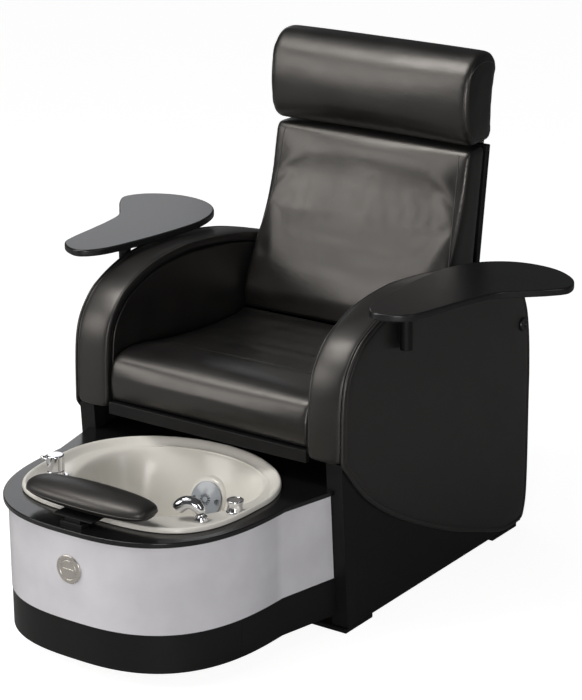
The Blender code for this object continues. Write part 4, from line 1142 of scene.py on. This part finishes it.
class CHAIR_OT_trays(bpy.types.Operator):
    """Tray tops with their posts and sockets"""

    bl_idname = "chair.trays"
    bl_label = "Trays"

    def execute(self, context):
        for side, sign in SIDES:
            turn = 0 if sign > 0 else radians(8)
            inboard = 0 if sign > 0 else 0.020
            x = sign * TRAY_X
            points = []
            for u, v in smooth_line(TRAY_OUTLINE, 8, closed=True):
                across = u * cos(turn) - v * sin(turn) - inboard
                points.append((x + sign * across, TRAY_Y + u * sin(turn) + v * cos(turn)))
            top = flat_plate(f"tray_{side}", [points], TRAY_LOW.z, TRAY_HIGH.z, 0.0045)
            finished(top, "tray_laminate", f"tray_{side}", [f"tray_top_{side}"], 30)
            low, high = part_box(f"tray_socket_{side}")
            under = TRAY_LOW.z
            socket = lathe(f"tray_cup_{side}", rounded([
                (0, low.z + 0.004), (0.012, low.z + 0.004), (0.012, high.z), (0.0165, high.z),
                (0.0165, low.z), (0, low.z),
            ], 0.0010), (x, TRAY_Y, 0))
            near, far = sorted((sign * (SHIELD_OUT + 0.0003), sign * (TRAY_X - 0.0138)))
            socket = cut(socket, block(
                "bracket", (near, TRAY_Y - 0.006, low.z + 0.012), (far, TRAY_Y + 0.006, high.z - 0.012),
            ), "UNION")
            finished(socket, "satin_board", "chair", [f"tray_socket_{side}"], 40)
            post = lathe(f"tray_stem_{side}", rounded([
                (0, under - 0.0003), (0.045, under - 0.0003), (0.045, under - 0.0045),
                (0.019, under - 0.0055), (0.0165, under - 0.009), (0.0165, high.z + 0.0005),
                (0.0115, high.z + 0.0005), (0.0115, low.z + 0.0045), (0, low.z + 0.0045),
            ], 0.0012), (x, TRAY_Y, 0))
            finished(post, "satin_board", f"tray_{side}", [f"tray_post_{side}"], 40)
        return {"FINISHED"}


class CHAIR_OT_frame(bpy.types.Operator):
    """Finishes for the boards, rails and other plain parts of the frame"""

    bl_idname = "chair.frame"
    bl_label = "Base and frame"

    def execute(self, context):
        kinds = {
            "satin_board": (
                "black_panel", "front_skid", "rear_skid", "side_panel_left", "side_panel_right",
                "front_post_left", "front_post_right", "recess_panel", "rear_panel", "back_shell",
                "seat_deck", "footrest_guide", "footrest_post", "actuator_tube",
            ),
            "plywood": ("board", "floor_plate"),
            "plated_steel": (
                "steel", "bath_stand", "recline_pin", "water_inlets", "seat_rail_left", "seat_rail_right",
            ),
            "grey_housing": ("grey_plastic", "power_inlet", "drain_outlet"),
            # the jet motor and impeller are grey plastic parts, coloured near black as painted shade inside
            # the jet
            "dark_bore": ("grey_plastic", "jet_motor", "jet_impeller"),
            "polished_chrome": ("chrome", "actuator_rod"),
        }
        for name, (slot, *nodes) in kinds.items():
            for node in nodes:
                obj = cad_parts[node]
                obj.data.materials.clear()
                obj.data.materials.append(finish(name))
                modified(obj, "WELD", merge_threshold=0.00001)
                if node not in UNEDGED:
                    edged(obj, 0.0012, 50)
        return {"FINISHED"}


# ---- stage
class CHAIR_OT_stage(bpy.types.Operator):
    """Floor, lights and camera"""

    bl_idname = "chair.stage"
    bl_label = "Studio"

    def execute(self, context):
        scene = context.scene
        work = bmesh.new()
        bmesh.ops.create_grid(work, x_segments=1, y_segments=1, size=14)
        floor = mesh_object("studio_floor", work)
        floor.data.materials.append(self.floor_finish())
        world = bpy.data.worlds.new("studio")
        scene.world = world
        world.use_nodes = True
        tree = world.node_tree
        sky = tree.nodes["Background"]
        path = tree.nodes.new("ShaderNodeLightPath")
        seen = tree.nodes.new("ShaderNodeBackground")
        seen.inputs["Color"].default_value = (1, 1, 1, 1)
        seen.inputs["Strength"].default_value = 1.0
        sky.inputs["Color"].default_value = (0.95, 0.97, 1.0, 1)
        sky.inputs["Strength"].default_value = 0.07
        mix = tree.nodes.new("ShaderNodeMixShader")
        tree.links.new(path.outputs["Is Camera Ray"], mix.inputs["Fac"])
        tree.links.new(sky.outputs["Background"], mix.inputs[1])
        tree.links.new(seen.outputs["Background"], mix.inputs[2])
        tree.links.new(mix.outputs["Shader"], tree.nodes["World Output"].inputs["Surface"])
        for settings in LIGHTS:
            self.light(*settings)
        sun = bpy.data.lights.new("floor_wash", "SUN")
        sun.energy = 0.35
        sun.angle = radians(50)
        lamp = bpy.data.objects.new("floor_wash", sun)
        lamp.rotation_euler = (radians(18), radians(-14), 0)
        scene.collection.objects.link(lamp)
        camera = bpy.data.cameras.new("camera")
        camera.lens = CAMERA_LENS
        camera.sensor_width = 36
        camera.clip_start, camera.clip_end = 0.1, 60
        holder = bpy.data.objects.new("camera", camera)
        scene.collection.objects.link(holder)
        azimuth, elevation, roll = CAMERA_AZIMUTH, CAMERA_ELEVATION, CAMERA_ROLL
        back = Vector((sin(azimuth) * cos(elevation), -cos(azimuth) * cos(elevation), sin(elevation)))
        right = (-back).cross(Vector((0, 0, 1))).normalized()
        up = right.cross(-back)
        across = right * cos(roll) + up * sin(roll)
        upward = up * cos(roll) - right * sin(roll)
        turn = Matrix((across, upward, back)).transposed().to_4x4()
        holder.matrix_world = Matrix.Translation(CAMERA_AT) @ turn
        scene.camera = holder
        scene.view_settings.view_transform = "Standard"
        scene.view_settings.look = "None"
        return {"FINISHED"}

    def floor_finish(self):
        tone = colours().floor
        made, tree, shader, where = new_finish("studio_floor", tone, 0.6)
        two_tone(tree, shader, noise(tree, where, 0.8, 3), shade(tone, 0.99), shade(tone, 1.01))
        shader.inputs["Emission Color"].default_value = (1, 1, 1, 1)
        path = tree.nodes.new("ShaderNodeLightPath")
        glow = spread(tree, path.outputs["Is Camera Ray"], 0.02, 0.90, 0, 1)
        tree.links.new(glow, shader.inputs["Emission Strength"])
        return made

    def light(self, name, at, aim, width, height, power, colour):
        data = bpy.data.lights.new(name, "AREA")
        data.shape = "RECTANGLE"
        data.size, data.size_y = width, height
        data.energy = power
        data.color = colour
        lamp = bpy.data.objects.new(name, data)
        lamp.location = at
        lamp.rotation_mode = "QUATERNION"
        lamp.rotation_quaternion = (Vector(aim) - Vector(at)).to_track_quat("-Z", "Y")
        bpy.context.scene.collection.objects.link(lamp)


class CHAIR_PT_parts(bpy.types.Panel):
    """Lists what can be built and changed"""

    bl_idname = "CHAIR_PT_parts"
    bl_label = "Spa Chair"
    bl_space_type = "VIEW_3D"
    bl_region_type = "UI"
    bl_category = "Spa Chair"

    def draw(self, context):
        for operator in OPERATORS:
            self.layout.operator(operator.bl_idname)
        for group in (context.scene.chair_sizes, context.scene.chair_colours):
            box = self.layout.box()
            for key in group.__annotations__:
                box.prop(group, key)


OPERATORS = (
    CHAIR_OT_frame, CHAIR_OT_bath, CHAIR_OT_jet, CHAIR_OT_fittings, CHAIR_OT_trays, CHAIR_OT_arms,
    CHAIR_OT_seat, CHAIR_OT_back, CHAIR_OT_headrest, CHAIR_OT_footrest, CHAIR_OT_stage,
)
CLASSES = (ChairSizes, ChairColours, *OPERATORS, CHAIR_PT_parts)


def register():
    for item in CLASSES:
        bpy.utils.register_class(item)
    bpy.types.Scene.chair_sizes = PointerProperty(type=ChairSizes)
    bpy.types.Scene.chair_colours = PointerProperty(type=ChairColours)


def unregister():
    del bpy.types.Scene.chair_colours
    del bpy.types.Scene.chair_sizes
    for item in reversed(CLASSES):
        bpy.utils.unregister_class(item)


def main():
    register()
    bpy.ops.chair.frame()
    bpy.ops.chair.bath()
    bpy.ops.chair.jet()
    bpy.ops.chair.fittings()
    bpy.ops.chair.trays()
    bpy.ops.chair.arms()
    bpy.ops.chair.seat()
    bpy.ops.chair.back()
    bpy.ops.chair.headrest()
    bpy.ops.chair.footrest()
    bpy.ops.chair.stage()


if __name__ == "__main__":
    main()
